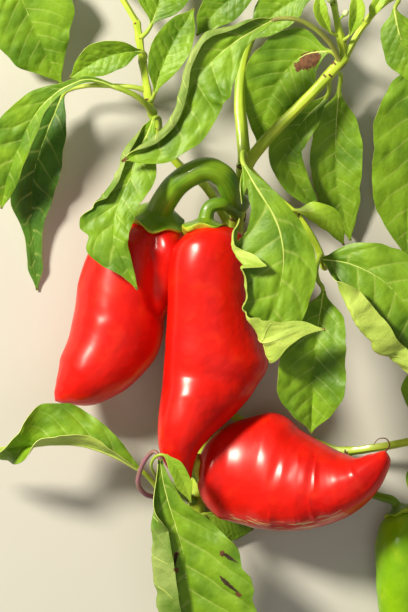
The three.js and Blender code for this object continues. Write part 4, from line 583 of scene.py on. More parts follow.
def grow_limb(limb, sizes, finishes):
    """A tapered, ribbed stem that swells at its nodes; the main stem ends in a cut that shows its wood."""
    route = Route(limb["route"])
    around = 30
    count = math.ceil(route.length / STEM_STEP)
    distances = np.linspace(0, route.length, count + 1)
    share = distances / route.length
    angles = np.arange(around) / around
    start, end = limb["radii"]
    radius = start + (end - start) * share
    swelling = np.zeros_like(radius)
    for place in node_places(limb, route):
        swelling = np.maximum(swelling, np.exp(-((distances - place) / (1.2 * start)) ** 2))
    turned = 2 * math.pi * STEM_RIBS * angles[None] + RIB_TWIST * share[:, None]
    ribs = sizes.stem_rib / MM * np.maximum(0, np.cos(turned)) ** 1.5
    seed = SEED + len(limb["name"]) + int(route.length)
    place = np.broadcast_arrays(angles[None], share[:, None])
    lumps = STEM_LUMPS * uneven(seed, *place, 5, max(3, count // 7), True)
    radii = (radius * (1 + NODE_SWELLING * swelling))[:, None] * (1 + lumps) + ribs - 0.1
    at_node = swelling[:, None] * np.ones(around) > 0.86
    spots = uneven(seed + 1, *place, 6, max(3, count // 3), True)
    finish = np.where(at_node & (spots > 0.3), 1, 0)[:-1]
    shape = Shape()
    rings = ring_places(route, distances, radii, around)
    grain = tube_grain(distances, start, around)
    if limb["name"] == "main_stem":
        cut = rings[0]
        middle = cut.mean(0)
        bark_ring = middle + (cut - middle) * BARK_SHARE
        pith_ring = middle + (cut - middle) * PITH_SHARE
        shape.add_tube(rings, finish, grain, (False, True))
        shape.add_tube(np.stack([bark_ring, cut]), 2, None, (False, False))
        shape.add_tube(np.stack([pith_ring, bark_ring]), 3, None, (True, False), 4)
    else:
        over = np.array([0.35, 0.62, 0.8]) * end
        ends = ring_places(route, route.length + over, radii[-1] * np.array([0.92, 0.7, 0.35])[:, None], around)
        shape.add_tube(np.vstack([rings, ends]), np.vstack([finish, np.zeros((3, around), int)]),
                       tube_grain(np.concatenate([distances, route.length + over]), start, around))
    shape.make("fine_" + limb["name"], finishes, limb["name"])


def grow_stalk(stalk, sizes, finishes):
    """The stalk runs into the fruit's own axis and spreads into a pleated calyx with pointed teeth."""
    fruit = next(item for item in FRUITS if item["name"] == stalk["fruit"])
    route = Route([*stalk["route"], *fruit["route"][:2]])
    width, depth = stalk["cap"]
    start, end = stalk["radii"]
    neck = Route([*stalk["route"], fruit["route"][0]]).length - depth * 0.9
    around = 60
    angles = np.arange(around) / around
    along = np.linspace(0, neck, math.ceil(neck / 0.7))
    share = along / neck
    stem_radius = start + (end - start) * share**2
    flare = np.linspace(0, 1, 26)[1:]
    flare_radius = end + (width - end) * read_table(CALYX_FLARE, flare)
    flare_along = neck + depth * CALYX_RUN * flare
    under = np.array([0.16, 0.3, 0.42])
    distances = np.concatenate([along, flare_along, neck + depth * (CALYX_RUN + under)])
    radius = np.concatenate([stem_radius, flare_radius, width * np.array([0.985, 0.93, 0.8])])
    spread = np.concatenate([np.zeros(len(along)), flare, np.ones(3)])
    teeth = sizes.calyx_tooth / MM * (width / 10)
    pleats = np.cos(2 * math.pi * CALYX_TEETH * angles + 0.7)[None]
    ribs = np.maximum(0, np.cos(2 * math.pi * 2 * CALYX_TEETH * angles + 0.7))[None] ** 2
    run = distances / distances[-1]
    seed = SEED + 40 + int(width * 10)
    lumps = uneven(seed, *np.broadcast_arrays(angles[None], run[:, None]), 7, max(4, len(distances) // 6), True)
    radii = radius[:, None] * (1 + 0.028 * lumps + 0.035 * pleats * (0.4 + 0.6 * spread[:, None]))
    radii = radii + 0.22 * ribs * (0.35 + 0.65 * spread[:, None]) * (width / 12)
    centre, tangent, normal, side = route.at(distances)
    turns = 2 * math.pi * angles
    slip = teeth * pleats * spread[:, None] ** 3
    slip[-1] *= 0.4
    rings = (
        centre[:, None] + side[:, None] * (radii * np.cos(turns))[..., None]
        + normal[:, None] * (radii * np.sin(turns))[..., None] + tangent[:, None] * slip[..., None]
    )
    finish = np.where(spread[:-1, None] * np.ones(around) > 0.9, 1, 0)
    shape = Shape()
    shape.add_tube(rings, finish, tube_grain(distances, (start + width) / 2, around))
    shape.make("fine_" + stalk["name"], finishes, stalk["name"])


# Fruits


def fruit_profile(fruit, length, step=0.3, soften=1.3):
    """Distance and middle radius of the fruit's side from its shoulders to its tip, corners rounded."""
    girth = [[share, (one + other) / 2] for share, one, other in fruit["girth"]]
    first, last = girth[0], girth[-1]
    shares = np.linspace(first[0], last[0], 200)
    shoulder = first[0] * length
    along = np.concatenate([[shoulder + 1.6, shoulder + 1.2], shares * length, [length + 0.4]])
    radius = np.concatenate([[0, first[1] * 0.35], read_table(girth, shares), [0.05]])
    walked = np.concatenate([[0], np.cumsum(np.hypot(np.diff(along), np.diff(radius)))])
    even = np.arange(0, walked[-1], step)
    along, radius = np.interp(even, walked, along), np.interp(even, walked, radius)
    reach = np.arange(-12, 13)
    weights = np.exp(-0.5 * (reach * step / soften) ** 2)
    weights /= weights.sum()
    padded_along = np.concatenate([along[12:0:-1], along, 2 * along[-1] - along[-2:-14:-1]])
    padded_radius = np.concatenate([-radius[12:0:-1], radius, -radius[-2:-14:-1]])
    along = np.convolve(padded_along, weights, "valid")
    radius = np.maximum(np.convolve(padded_radius, weights, "valid"), 0.02)
    return along, radius, even


def grow_fruit(fruit, sizes, finishes):
    """A fruit round its own bent axis, with lobes, soft unevenness, crinkles and furrows."""
    route = Route(fruit["route"])
    along, radius, walked = fruit_profile(fruit, route.length)
    rows, around = fruit["grid"]
    even = np.linspace(0, walked[-1], rows)
    along, radius = np.interp(even, walked, along), np.interp(even, walked, radius)
    share = np.clip(along / route.length, 0, 1)
    turns = np.arange(around) / around
    angles = 2 * math.pi * turns[None]
    one, other = (read_table(fruit["girth"], share, column) for column in (1, 2))
    lean = ((one - other) / (one + other))[:, None]
    count, depth, turn = fruit["lobes"]
    bulge = 1 + depth * (1 - share)[:, None] * np.cos(count * angles + turn + share[:, None])
    seed = SEED + 70 + int(route.length)
    place = np.broadcast_arrays(turns[None], share[:, None])
    full = ease(0, 9, radius)[:, None]
    relief = 0.3 * uneven(seed, *place, 7, 6, True) + 0.09 * uneven(seed + 1, *place, 22, 18, True)
    for low, high, start, end, height, cells_round, cells_along in fruit.get("crinkles", ()):
        window = ease(low, low + 0.08, place[1]) * ease(high, high - 0.08, place[1])
        turned = (place[0] - start) % 1.0
        window = window * ease(0, 0.06, turned) * ease(end - start, end - start - 0.06, turned)
        folds = uneven(seed + 2, *place, cells_round, cells_along, True)
        relief = relief + height * window * (1 - 2 * np.abs(folds) ** 0.7)
    for path, depths, wide in fruit.get("furrows", ()):
        away = np.abs((place[0] - read_table(path, place[1]) + 0.5) % 1.0 - 0.5)
        relief = relief - read_table(depths, place[1]) * np.exp(-((away / wide) ** 2))
    radii = radius[:, None] * (1 + lean * np.cos(angles)) * bulge + relief * full * sizes.fruit_unevenness
    height = read_table(fruit["height"], share)[:, None]
    rings = ring_places(route, along, radii, around, height)
    finish = np.zeros((rows - 1, around), int)
    for low, high, start, end, mark in fruit.get("marks", ()):
        band = (place[1][:-1] > low) & (place[1][:-1] < high) & ((place[0][:-1] - start) % 1.0 < end - start)
        finish[band] = mark
    shape = Shape()
    shape.add_tube(rings, finish, tube_grain(along, float(radius.max()), around), (True, True))
    shape.make("fine_" + fruit["name"], finishes, fruit["name"], 70)


# Leaves


def vein_run(width, length, across):
    """How far towards the tip a side vein has run, as a share of the blade's length."""
    return 0.62 * width / length * (across + 0.45 * across**2)


def half_blade(leaf, share, length, frame_lines, sign, across, seed):
    """Places from midrib to edge on one half of the blade, and the way that its upper face looks."""
    column = 1 if sign < 0 else 2
    centre, normal, side = frame_lines
    width = np.maximum(BLADE_TIP_WIDTH, read_table(leaf["half"], share, column))[:, None]
    lane = np.full_like(share, 0.25 if sign < 0 else 0.75)
    scallops = uneven(seed + 6, lane, share, 2, max(4, round(length / 7)))
    scallops = scallops + 0.4 * uneven(seed + 7, lane, share, 2, max(6, round(length / 3.2)))
    width = width * (1 + 0.075 * scallops[:, None])
    fold = np.radians(read_table(leaf["fold"], share, column))[:, None]
    spans = leaf.get("roll_span", [[0, 0, 1], [1, 0, 1]])
    roll_from, roll_to = (read_table(spans, share, k)[:, None] for k in (1, 2))
    wanted = np.radians(read_table(leaf["roll"], share, column))[:, None] if "roll" in leaf else 0 * width
    roll = np.minimum(wanted, width * (roll_to - roll_from) / TIGHTEST_ROLL)
    height, count, phase = leaf.get("wave", (0, 0, 0))
    wave = height * np.sin(2 * math.pi * (count * share + phase + (0.37 if sign > 0 else 0)))[:, None]
    wave = wave * np.minimum(1, width / 8)
    parts = 4
    fine = np.linspace(0, 1, (len(across) - 1) * parts + 1)
    middle = (fine[1:] + fine[:-1]) / 2

    def tilt(at):
        return fold + roll * np.clip((at - roll_from) / (roll_to - roll_from), 0, 1)

    out = np.cumsum(np.cos(tilt(middle)) * width / len(middle), axis=1)[:, parts - 1::parts]
    rise = np.cumsum(np.sin(tilt(middle)) * width / len(middle), axis=1)[:, parts - 1::parts]
    out, rise = (np.pad(values, ((0, 0), (1, 0))) for values in (out, rise))
    outwards = side * sign
    angle = tilt(across[None])
    look = normal[:, None] * np.cos(angle)[..., None] - outwards[:, None] * np.sin(angle)[..., None]
    places = centre[:, None] + outwards[:, None] * out[..., None] + normal[:, None] * rise[..., None]
    return places + look * (wave * across[None] ** 2)[..., None], look, width


def blade_relief(leaf, share, across, width, length, sign, sizes, seed):
    """Height of the quilting between side veins, and the vein coordinate that the finish reads."""
    lean = vein_run(width, length, across)
    strayed = 0.16 * uneven(seed + 3, *np.broadcast_arrays(across, share), 2, 7)
    veins = (share - lean) / VEIN_SPACING + (0.5 if sign > 0 else 0) + strayed
    pillow = np.abs(np.sin(math.pi * veins)) ** 0.85 - 0.35
    pillow = pillow * (0.75 + 0.6 * uneven(seed + 2, *np.broadcast_arrays(across, share), 3, 12))
    open_part = ease(0.0, 0.2, across) * (1 - 0.75 * ease(0.72, 1, across))
    size = np.minimum(1, width / 13)
    quilt = sizes.quilt_height / MM * (1 if leaf["grid"][0] > BACK_GRID[0] else 0.6)
    height = quilt * pillow * open_part * size
    height = height + 0.3 * size * uneven(seed + 4, *np.broadcast_arrays(across, share), 5, 18)
    height = height + 0.12 * size * uneven(seed + 5, *np.broadcast_arrays(across, share), 11, 44)
    lane = np.full_like(share, 0.25 if sign < 0 else 0.75)
    ruffles = uneven(seed + 8, lane, share, 2, max(4, round(length / 5.5)))
    ruffles = ruffles + 0.2 * uneven(seed + 9, lane, share, 2, max(6, round(length / 2.8)))
    tilted = read_table(leaf["roll"], share, 1 if sign < 0 else 2) if "roll" in leaf else 0 * share
    calm = 1 - 0.75 * np.minimum(1, tilted / 110)
    height = height + sizes.margin_ruffle / MM * size * ruffles * calm * across**3
    groove = -0.35 * size * np.exp(-((across * width) / 1.3) ** 2)
    return height + groove, veins


def blade_grids(leaf, sizes, seed):
    """The blade's middle surface with its relief: places, facing, widths and vein coordinates."""
    rows, columns = leaf["grid"]
    route = Route(leaf["midrib"])
    share = np.linspace(0, 1, rows + 1)
    centre, tangent, _, _ = route.at(share * route.length)
    faces = leaf.get("face", [[0, 0, 0, 1], [1, 0, 0, 1]])
    look = np.column_stack([read_table(faces, share, k) for k in (1, 2, 3)])
    normal = unit(look - tangent * (look * tangent).sum(1, keepdims=True))
    side = np.cross(tangent, normal)
    across = np.linspace(0, 1, columns + 1)
    halves = []
    for sign in (-1, 1):
        lines = (centre, normal, side)
        places, facing, width = half_blade(leaf, share, route.length, lines, sign, across, seed)
        height, veins = blade_relief(
            leaf, share[:, None], across[None], width, route.length, sign, sizes, seed + sign)
        places = places + facing * height[..., None]
        halves.append((places, width * across[None], veins))
    (left, left_across, left_veins), (right, right_across, right_veins) = halves
    places = np.concatenate([left[:, ::-1], right[:, 1:]], axis=1)
    places[:, columns] = (left[:, 0] + right[:, 0]) / 2
    signed = np.concatenate([-left_across[:, ::-1], right_across[:, 1:]], axis=1)
    rise = np.gradient(places, axis=1)
    run = np.gradient(places, axis=0)
    facing = unit(np.cross(rise, run))
    grain = np.stack([signed, np.broadcast_to(share[:, None] * route.length, signed.shape)], -1) / GRAIN_UNIT
    return places, facing, grain, (left_veins, right_veins), route.length, across


def vein_corners(veins, across):
    """The vein map's place at each corner of each cell; the halves keep their own at the midrib."""
    columns = len(across) - 1
    left, right = (np.stack([v, np.broadcast_to(across[None], v.shape)], -1) for v in veins)
    both = np.concatenate([left[:, ::-1], right], axis=1)
    low = np.concatenate([both[:, :columns], both[:, columns + 1:-1]], axis=1)
    high = np.concatenate([both[:, 1:columns + 1], both[:, columns + 2:]], axis=1)
    return np.stack([low[:-1], high[:-1], high[1:], low[1:]], -2)


def patch_cells(places, x, y, half_long, half_wide, bearing_deg, least_across):
    """A ragged oval patch of the blade, seen from above: the cells in it, and how far its corners lie."""
    columns = (places.shape[1] - 1) // 2
    share_across = np.abs(np.arange(2 * columns) + 0.5 - columns) / columns
    along = np.array([math.cos(math.radians(bearing_deg)), math.sin(math.radians(bearing_deg))])
    sideways = np.array([-along[1], along[0]])
    offset = places[..., :2] - [x, y]
    away = np.stack([offset @ along / half_long, offset @ sideways / half_wide], -1)
    bearing = np.arctan2(away[..., 1], away[..., 0])
    ragged = 1 + 0.14 * np.sin(3 * bearing + x) + 0.08 * np.sin(5 * bearing + y)
    far = np.hypot(away[..., 0], away[..., 1]) * ragged
    cells = (far[:-1, :-1] + far[1:, :-1] + far[:-1, 1:] + far[1:, 1:]) / 4
    return (cells < 1) & (share_across >= least_across)[None], far, offset


def cut_holes(places, holes):
    """Leaves out the cells inside each hole, and rounds the edge that is left."""
    rows, wide = places.shape[:2]
    kept = np.ones((rows - 1, wide - 1), bool)
    for hole in holes:
        inside, far, offset = patch_cells(places, *hole)
        kept &= ~inside
        near, bare = np.zeros((2, rows, wide), bool)
        for a, b in ((0, 0), (0, 1), (1, 0), (1, 1)):
            near[a:rows - 1 + a, b:wide - 1 + b] |= inside
            bare[a:rows - 1 + a, b:wide - 1 + b] |= ~inside
        edge = near & bare
        shift = (1 / np.maximum(far[edge], 0.3) - 1)[:, None] * offset[edge]
        places[edge, :2] += np.clip(shift, -0.45, 0.45)
    return kept


def grow_blade(shape, leaf, places, facing, grain, vein_corner, kept, thickness):
    """Adds both faces of the blade and the rims round its outline and its holes."""
    rows, wide = places.shape[:2]
    edge = np.abs(np.linspace(-1, 1, wide)) ** 8
    half = thickness / 2 * (1 - 0.45 * edge)[None, :, None]
    upper, lower = places + facing * half, places - facing * half
    number = np.arange(rows * wide).reshape(rows, wide)
    corner = np.stack([number[:-1, :-1], number[:-1, 1:], number[1:, 1:], number[1:, :-1]], -1)
    grain_corner = np.stack([grain[:-1, :-1], grain[:-1, 1:], grain[1:, 1:], grain[1:, :-1]], -2)
    length = grain[-1, 0, 1] * GRAIN_UNIT
    middle = (places[:-1, :-1] + places[1:, 1:]) / 2
    seed = SEED + int(length * 10)
    cell_places = np.broadcast_arrays(np.linspace(0, 1, wide - 1)[None], np.linspace(0, 1, rows - 1)[:, None])
    ragged = uneven(seed, *cell_places, 14, 60)
    dry = (grain[:-1, :-1, 1] * GRAIN_UNIT + ragged) > length - leaf.get("dry_tip", 0.8)
    for x, y, radius in leaf.get("stains", ()):
        dry |= np.hypot(middle[..., 0] - x, middle[..., 1] - y) + 0.8 * ragged < radius
    # Cells of a slit get the near-black finish: painted shade where a hole would show, with browner rotted
    # patches.
    slit_shade = np.zeros(kept.shape, bool)
    for slit_patch in leaf.get("painted_shade_slits", ()):
        slit_shade |= patch_cells(places, *slit_patch)[0]
    top_finish = np.where(slit_shade, 6, np.where(dry, 5, 0))
    low_finish = np.where(slit_shade, 6, np.where(dry, 5, 1))
    flat = kept.ravel()
    both = np.vstack([upper.reshape(-1, 3), lower.reshape(-1, 3)])
    shift = rows * wide
    top = corner.reshape(-1, 4)[flat]
    bottom = corner.reshape(-1, 4)[flat][:, ::-1] + shift
    grain_cells = grain_corner.reshape(-1, 4, 2)[flat]
    vein_cells = vein_corner.reshape(-1, 4, 2)[flat]
    faces, finish = [top, bottom], [top_finish.ravel()[flat], low_finish.ravel()[flat]]
    marks, lines = [grain_cells, grain_cells[:, ::-1]], [vein_cells, vein_cells[:, ::-1]]
    padded = np.pad(kept, 1)
    for (di, dj), (a, b) in {(-1, 0): (0, 1), (0, 1): (1, 2), (1, 0): (2, 3), (0, -1): (3, 0)}.items():
        beside = padded[1 + di:1 + di + kept.shape[0], 1 + dj:1 + dj + kept.shape[1]]
        open_edge = (kept & ~beside).ravel()
        first, second = corner.reshape(-1, 4)[open_edge][:, a], corner.reshape(-1, 4)[open_edge][:, b]
        faces.append(np.stack([second, first, first + shift, second + shift], -1))
        beyond = top_finish.ravel()[open_edge]
        finish.append(np.where(beyond == 0, 4, beyond))
        g1, g2 = (grain_corner.reshape(-1, 4, 2)[open_edge][:, k] for k in (a, b))
        v1, v2 = (vein_corner.reshape(-1, 4, 2)[open_edge][:, k] for k in (a, b))
        marks.append(np.stack([g2, g1, g1, g2], 1))
        lines.append(np.stack([v2, v1, v1, v2], 1))
    shape.add(both, np.vstack(faces), np.concatenate(finish), np.vstack(marks), np.vstack(lines))


def read_grid(grid, row, column):
    """A grid's values between its rows and columns."""
    i = np.minimum(row.astype(int), grid.shape[0] - 2)
    j = np.clip(np.floor(column).astype(int), 0, grid.shape[1] - 2)
    down, right = (row - i)[:, None], (column - j)[:, None]
    low = grid[i, j] * (1 - right) + grid[i, j + 1] * right
    high = grid[i + 1, j] * (1 - right) + grid[i + 1, j + 1] * right
    return low * (1 - down) + high * down


def grow_ribs(shape, leaf, places, facing, length, thickness, sizes):
    """The petiole runs on as the midrib, and side veins stand proud of the under face."""
    rows, wide = places.shape[:2]
    columns = (wide - 1) // 2
    start, base = leaf["stalk_radii"]
    stalk = Route([*leaf["stalk"], leaf["midrib"][1]])
    base_distance = Route(leaf["stalk"]).length
    stalk_line = stalk.at(np.arange(0, base_distance, 0.7))[0]
    share = np.linspace(0, 1, rows)
    rib_radius = np.maximum(0.16, base * (1 - share) ** 0.8 * 0.92)
    rib_line = places[:, columns] - facing[:, columns] * (rib_radius * 0.56)[:, None]
    line = np.vstack([stalk_line, rib_line[2:]])
    for _ in range(2):
        line[1:-1] = (line[:-2] + 2 * line[1:-1] + line[2:]) / 4
    steps = np.arange(len(stalk_line)) / max(1, len(stalk_line) - 1)
    stalk_radius = (start + (base - start) * steps) * (1 + 0.75 * np.exp(-steps * base_distance / 1.8))
    radius = np.concatenate([stalk_radius, rib_radius[2:]])
    around = 12
    path = Route(line, smooth=False)
    walked = np.concatenate([[0.0], np.cumsum(np.linalg.norm(np.diff(line, axis=0), axis=1))])
    rings = ring_places(path, walked, radius[:, None] * np.ones(around), around)
    finish = np.where(np.arange(len(line) - 1) < len(stalk_line), 3, 2)[:, None] * np.ones(around, int)
    shape.add_tube(rings, finish, tube_grain(walked, start, around))
    for sign in (-1, 1):
        for number in range(1, int(1 / VEIN_SPACING)):
            begin = (number - (0.5 if sign > 0 else 0)) * VEIN_SPACING
            if begin < 0.05 or begin > 0.9:
                continue
            reach = np.linspace(0, 0.9, 14)
            width = read_table(leaf["half"], begin, 1 if sign < 0 else 2)
            row = np.clip(begin + vein_run(width, length, reach), 0, 1) * (rows - 1)
            column = columns + sign * reach * columns
            thick = sizes.vein_height / MM * (1 - 0.72 * reach) * min(1, width / 10)
            centre = read_grid(places, row, column) - unit(read_grid(facing, row, column)) * (thickness * 0.42)
            steps = np.concatenate([[0.0], np.cumsum(np.linalg.norm(np.diff(centre, axis=0), axis=1))])
            shape.add_tube(ring_places(Route(centre, smooth=False), steps, thick[:, None] * np.ones(6), 6), 2)


def grow_leaf(leaf, sizes, finishes):
    """A blade with its veins, and the stalk that carries it."""
    leaf = {"grid": YOUNG_GRID if leaf.get("age") == "young" else BACK_GRID, **leaf}
    seed = SEED + sum(map(ord, leaf["name"]))
    places, facing, grain, veins, length, across = blade_grids(leaf, sizes, seed)
    thickness = sizes.blade_thickness / MM
    shape = Shape()
    kept = cut_holes(places, leaf.get("holes", ()))
    grow_blade(shape, leaf, places, facing, grain, vein_corners(veins, across), kept, thickness)
    grow_ribs(shape, leaf, places, facing, length, thickness, sizes)
    shape.make("fine_" + leaf["name"], finishes, leaf["name"])


# Small parts


def grow_buds(sizes, finishes):
    """Flower buds on short stalks at the growing tip."""
    dice = np.random.default_rng(SEED + 5)
    shape = Shape()
    for base in BUD_PLACES[: sizes.bud_count]:
        lean = unit(np.array([dice.uniform(-0.7, 0.7), dice.uniform(0.1, 1), dice.uniform(0.7, 1.2)]))
        foot = np.array(base, float)
        reach = dice.uniform(3.2, 4.6)
        bud = dice.uniform(1.5, 2.0)
        neck = foot + lean * reach * 0.6 + [0, 0, 0.5]
        head = foot + lean * reach
        route = Route([foot, neck, head, head + lean * bud * 2.1])
        along = np.linspace(0, route.length, 26)
        start = route.length - bud * 2.1
        t = np.clip((along - start) / (route.length - start), 0, 1)
        swell = (bud * 0.62 - 0.2) * np.sin(math.pi * np.minimum(t, 0.98)) ** 0.8
        radius = np.where(along < start, BUD_STALK, BUD_STALK + swell)
        radius = np.where(t > 0.9, radius * (1 - (t - 0.9) * 4), radius)
        finish = np.where(along[:-1] < start + bud * 0.5, 0, 1)[:, None] * np.ones(14, int)
        shape.add_tube(ring_places(route, along, radius[:, None] * np.ones(14), 14), finish)
    shape.make("flower_buds", finishes)


def grow_dried_style(finishes):
    """The dried thread of the flower that still clings to a fruit's tip."""
    route = Route(DRIED_STYLE)
    along = np.linspace(0, route.length, 40)
    radius = 0.34 - 0.2 * along / route.length
    shape = Shape()
    shape.add_tube(ring_places(route, along, radius[:, None] * np.ones(8), 8), 0)
    shape.make("dried_style", finishes)


# Finishes


def linear(hex_colour):
    """An sRGB hex colour as linear red, green, blue and alpha."""
    parts = [int(hex_colour[i:i + 2], 16) / 255 for i in (1, 3, 5)]
    return (*(c / 12.92 if c <= 0.04045 else ((c + 0.055) / 1.055) ** 2.4 for c in parts), 1.0)


def add_node(tree, kind, inputs=None, **settings):
    """Adds a node with its settings; inputs maps a socket's name or number to a value or an output."""
    node = tree.nodes.new(kind)
    for name, value in settings.items():
        setattr(node, name, value)
    for key, value in (inputs or {}).items():
        if isinstance(value, bpy.types.NodeSocket):
            tree.links.new(value, node.inputs[key])
        else:
            node.inputs[key].default_value = value
    return node


def new_finish(name, **surface):
    """A material with one principled surface; returns it, its tree and that surface."""
    material = bpy.data.materials.new(name)
    material.use_nodes = True
    tree = material.node_tree
    tree.nodes.clear()
    sockets = {key.replace("_", " "): value for key, value in surface.items()}
    shader = add_node(tree, "ShaderNodeBsdfPrincipled", sockets)
    add_node(tree, "ShaderNodeOutputMaterial", {"Surface": shader.outputs[0]})
    return material, tree, shader


def give(tree, shader, colour, height, depth_mm, strength):
    """Gives a surface its pattern of colour, and a relief of a real depth."""
    bump = add_node(tree, "ShaderNodeBump", {"Strength": strength, "Distance": depth_mm * MM, "Height": height})
    tree.links.new(colour, shader.inputs["Base Color"])
    tree.links.new(bump.outputs[0], shader.inputs["Normal"])


def blotches(tree, size_mm, detail=2.0):
    """Soft unevenness of a real size, on the object's own places."""
    place = add_node(tree, "ShaderNodeTexCoord").outputs["Object"]
    noise = {"Vector": place, "Scale": 1 / (size_mm * MM), "Detail": detail}
    return add_node(tree, "ShaderNodeTexNoise", noise).outputs[0]


def streaks(tree, wide_mm, long_mm, detail=3.0):
    """Soft unevenness that is drawn out along the piece's length."""
    place = add_node(tree, "ShaderNodeUVMap", uv_map="Grain").outputs[0]
    scale = (GRAIN_UNIT / wide_mm, GRAIN_UNIT / long_mm, 1)
    place = add_node(tree, "ShaderNodeMapping", {0: place, 3: scale}).outputs[0]
    return add_node(tree, "ShaderNodeTexNoise", {"Vector": place, "Scale": 1.0, "Detail": detail}).outputs[0]


def two_tone(tree, pattern, low, high, first, second, most=1.0):
    """The first colour where a pattern is below low, and up to a share of the second above high."""
    share = add_node(tree, "ShaderNodeMapRange", {0: pattern, 1: low, 2: high, 3: 0.0, 4: most}).outputs[0]
    return add_node(tree, "ShaderNodeMix", {0: share, 6: first, 7: second}, data_type="RGBA").outputs[2]


def leaf_face(name, blade, deep, vein, roughness, net_mm=2.3, vein_share=0.42):
    """Living leaf, grown under a thin cuticle."""
    # To the eye: a satin sheen that breaks up over the net of veins, paler side veins that fade towards
    # the edge, and deeper green in soft patches. The net's real 0.5 mm cells are drawn about 2 mm wide.
    material, tree, shader = new_finish(name, Roughness=roughness, IOR=1.43)
    uv = add_node(tree, "ShaderNodeUVMap", uv_map="Veins").outputs[0]
    lines = add_node(tree, "ShaderNodeSeparateXYZ", {0: uv})
    grain = add_node(tree, "ShaderNodeUVMap", uv_map="Grain").outputs[0]
    from_vein = add_node(tree, "ShaderNodeMath", {0: lines.outputs[0], 1: 0.5}, operation="PINGPONG").outputs[0]
    side_vein = add_node(tree, "ShaderNodeMapRange", {0: from_vein, 1: 0.0, 2: 0.09, 3: 1.0, 4: 0.0}).outputs[0]
    fading = add_node(tree, "ShaderNodeMapRange",
                      {0: lines.outputs[1], 1: 0.2, 2: 0.95, 3: 1.0, 4: 0.25}).outputs[0]
    side_vein = add_node(tree, "ShaderNodeMath", {0: side_vein, 1: fading}, operation="MULTIPLY").outputs[0]
    cells = add_node(tree, "ShaderNodeTexVoronoi", {"Vector": grain, "Scale": GRAIN_UNIT / net_mm},
                     feature="DISTANCE_TO_EDGE", voronoi_dimensions="2D").outputs[0]
    net = add_node(tree, "ShaderNodeMapRange", {0: cells, 1: 0.0, 2: 0.16, 3: 1.0, 4: 0.0}).outputs[0]
    faint_net = add_node(tree, "ShaderNodeMath", {0: net, 1: 0.1}, operation="MULTIPLY").outputs[0]
    veined = add_node(tree, "ShaderNodeMath", {0: side_vein, 1: faint_net}, operation="MAXIMUM").outputs[0]
    veined = add_node(tree, "ShaderNodeMath", {0: veined, 1: vein_share}, operation="MULTIPLY").outputs[0]
    tone = two_tone(tree, blotches(tree, 14), 0.4, 0.66, blade, deep)
    tone = add_node(tree, "ShaderNodeMix", {0: veined, 6: tone, 7: vein}, data_type="RGBA").outputs[2]
    pillows = add_node(tree, "ShaderNodeMath", {0: cells, 1: 1.2}, operation="MULTIPLY").outputs[0]
    grit = add_node(tree, "ShaderNodeMath", {0: blotches(tree, 1.1), 1: 0.45, 2: pillows},
                    operation="MULTIPLY_ADD").outputs[0]
    give(tree, shader, tone, grit, 0.2, 0.4)
    return material


def grown_skin(name, base, deep, roughness, streak_mm=(0.7, 9), coat=0.0):
    """Green skin of a stem or stalk, grown along its length under a thin wax."""
    # To the eye: fine lengthwise streaks of a deeper green, and a soft highlight that runs along the stem.
    material, tree, shader = new_finish(name, Roughness=roughness, IOR=1.43, Coat_Weight=coat)
    lines = streaks(tree, *streak_mm)
    patches = add_node(tree, "ShaderNodeMapRange",
                       {0: blotches(tree, 11), 1: 0.3, 2: 0.7, 3: 0, 4: 0.4}).outputs[0]
    mixed = add_node(tree, "ShaderNodeMath", {0: lines, 1: 0.6, 2: patches},
                     operation="MULTIPLY_ADD").outputs[0]
    give(tree, shader, two_tone(tree, mixed, 0.3, 0.75, base, deep), lines, 0.12, 0.5)
    return material


def pepper_skin(name, base, deep, bright, scratches=None):
    """Skin of a pepper, grown smooth and polished by its own wax."""
    # To the eye: a clear gloss whose highlights stay small and bright, over a saturated colour that is
    # slightly uneven. Its dry scratches are cork, drawn 0.8 mm wide so that they show.
    material, tree, shader = new_finish(name, Roughness=0.6, Specular_IOR_Level=0.08, Coat_Weight=0.75,
                                        Coat_Roughness=0.26, Coat_IOR=1.45)
    tone = two_tone(tree, blotches(tree, 15), 0.36, 0.66, base, deep)
    tone = two_tone(tree, blotches(tree, 9, 3.0), 0.55, 0.8, tone, bright, 0.6)
    height = add_node(tree, "ShaderNodeMath", {0: blotches(tree, 4.6, 1.0), 1: 4.0, 2: blotches(tree, 1.7)},
                      operation="MULTIPLY_ADD").outputs[0]
    if scratches:
        dry = add_node(tree, "ShaderNodeMapRange", {0: streaks(tree, 1.6, 9, 2.0), 1: 0.55, 2: 0.62}).outputs[0]
        tone = add_node(tree, "ShaderNodeMix", {0: dry, 6: tone, 7: scratches}, data_type="RGBA").outputs[2]
        rough = add_node(tree, "ShaderNodeMapRange", {0: dry, 3: 0.3, 4: 0.75}).outputs[0]
        tree.links.new(rough, shader.inputs["Roughness"])
    give(tree, shader, tone, height, 0.13, 0.9)
    return material


def dry_tissue(name, base, deep, grain_mm=1.5, roughness=0.8):
    """Dead plant tissue, cut, dried or rotted."""
    # To the eye: matt and papery, with an uneven grain of two tones and no highlight.
    material, tree, shader = new_finish(name, Roughness=roughness)
    grain = blotches(tree, grain_mm, 4.0)
    give(tree, shader, two_tone(tree, grain, 0.3, 0.7, base, deep), grain, 0.2, 0.6)
    return material


def leaf_finishes(colours, kind):
    """Upper face, under face and ribs of one kind of leaf."""
    # The shade kind is a darker copy of the grown leaf's greens: painted shade.
    sun, deep = {
        "mature": (colours.leaf_upper, colours.leaf_deep),
        "shade": (colours.leaf_shade, colours.leaf_shade_deep),
        "young": (colours.leaf_young, colours.leaf_upper),
    }[kind]
    vein = colours.leaf_vein
    return [
        leaf_face("leaf_cuticle_" + kind, sun, deep, vein, 0.5, vein_share=0.3),
        leaf_face("leaf_under_face_" + kind, colours.leaf_lower, colours.leaf_lower_deep, vein, 0.6, 1.7, 0.3),
        grown_skin("leaf_rib_" + kind, vein, colours.leaf_lower, 0.45),
    ]


# What a user may change


def length_of(name, description, millimetres, least=0.0, most=10.0):
    return FloatProperty(name=name, description=description, default=millimetres * MM, min=least * MM,
                         max=most * MM, precision=5, subtype="DISTANCE", unit="LENGTH")


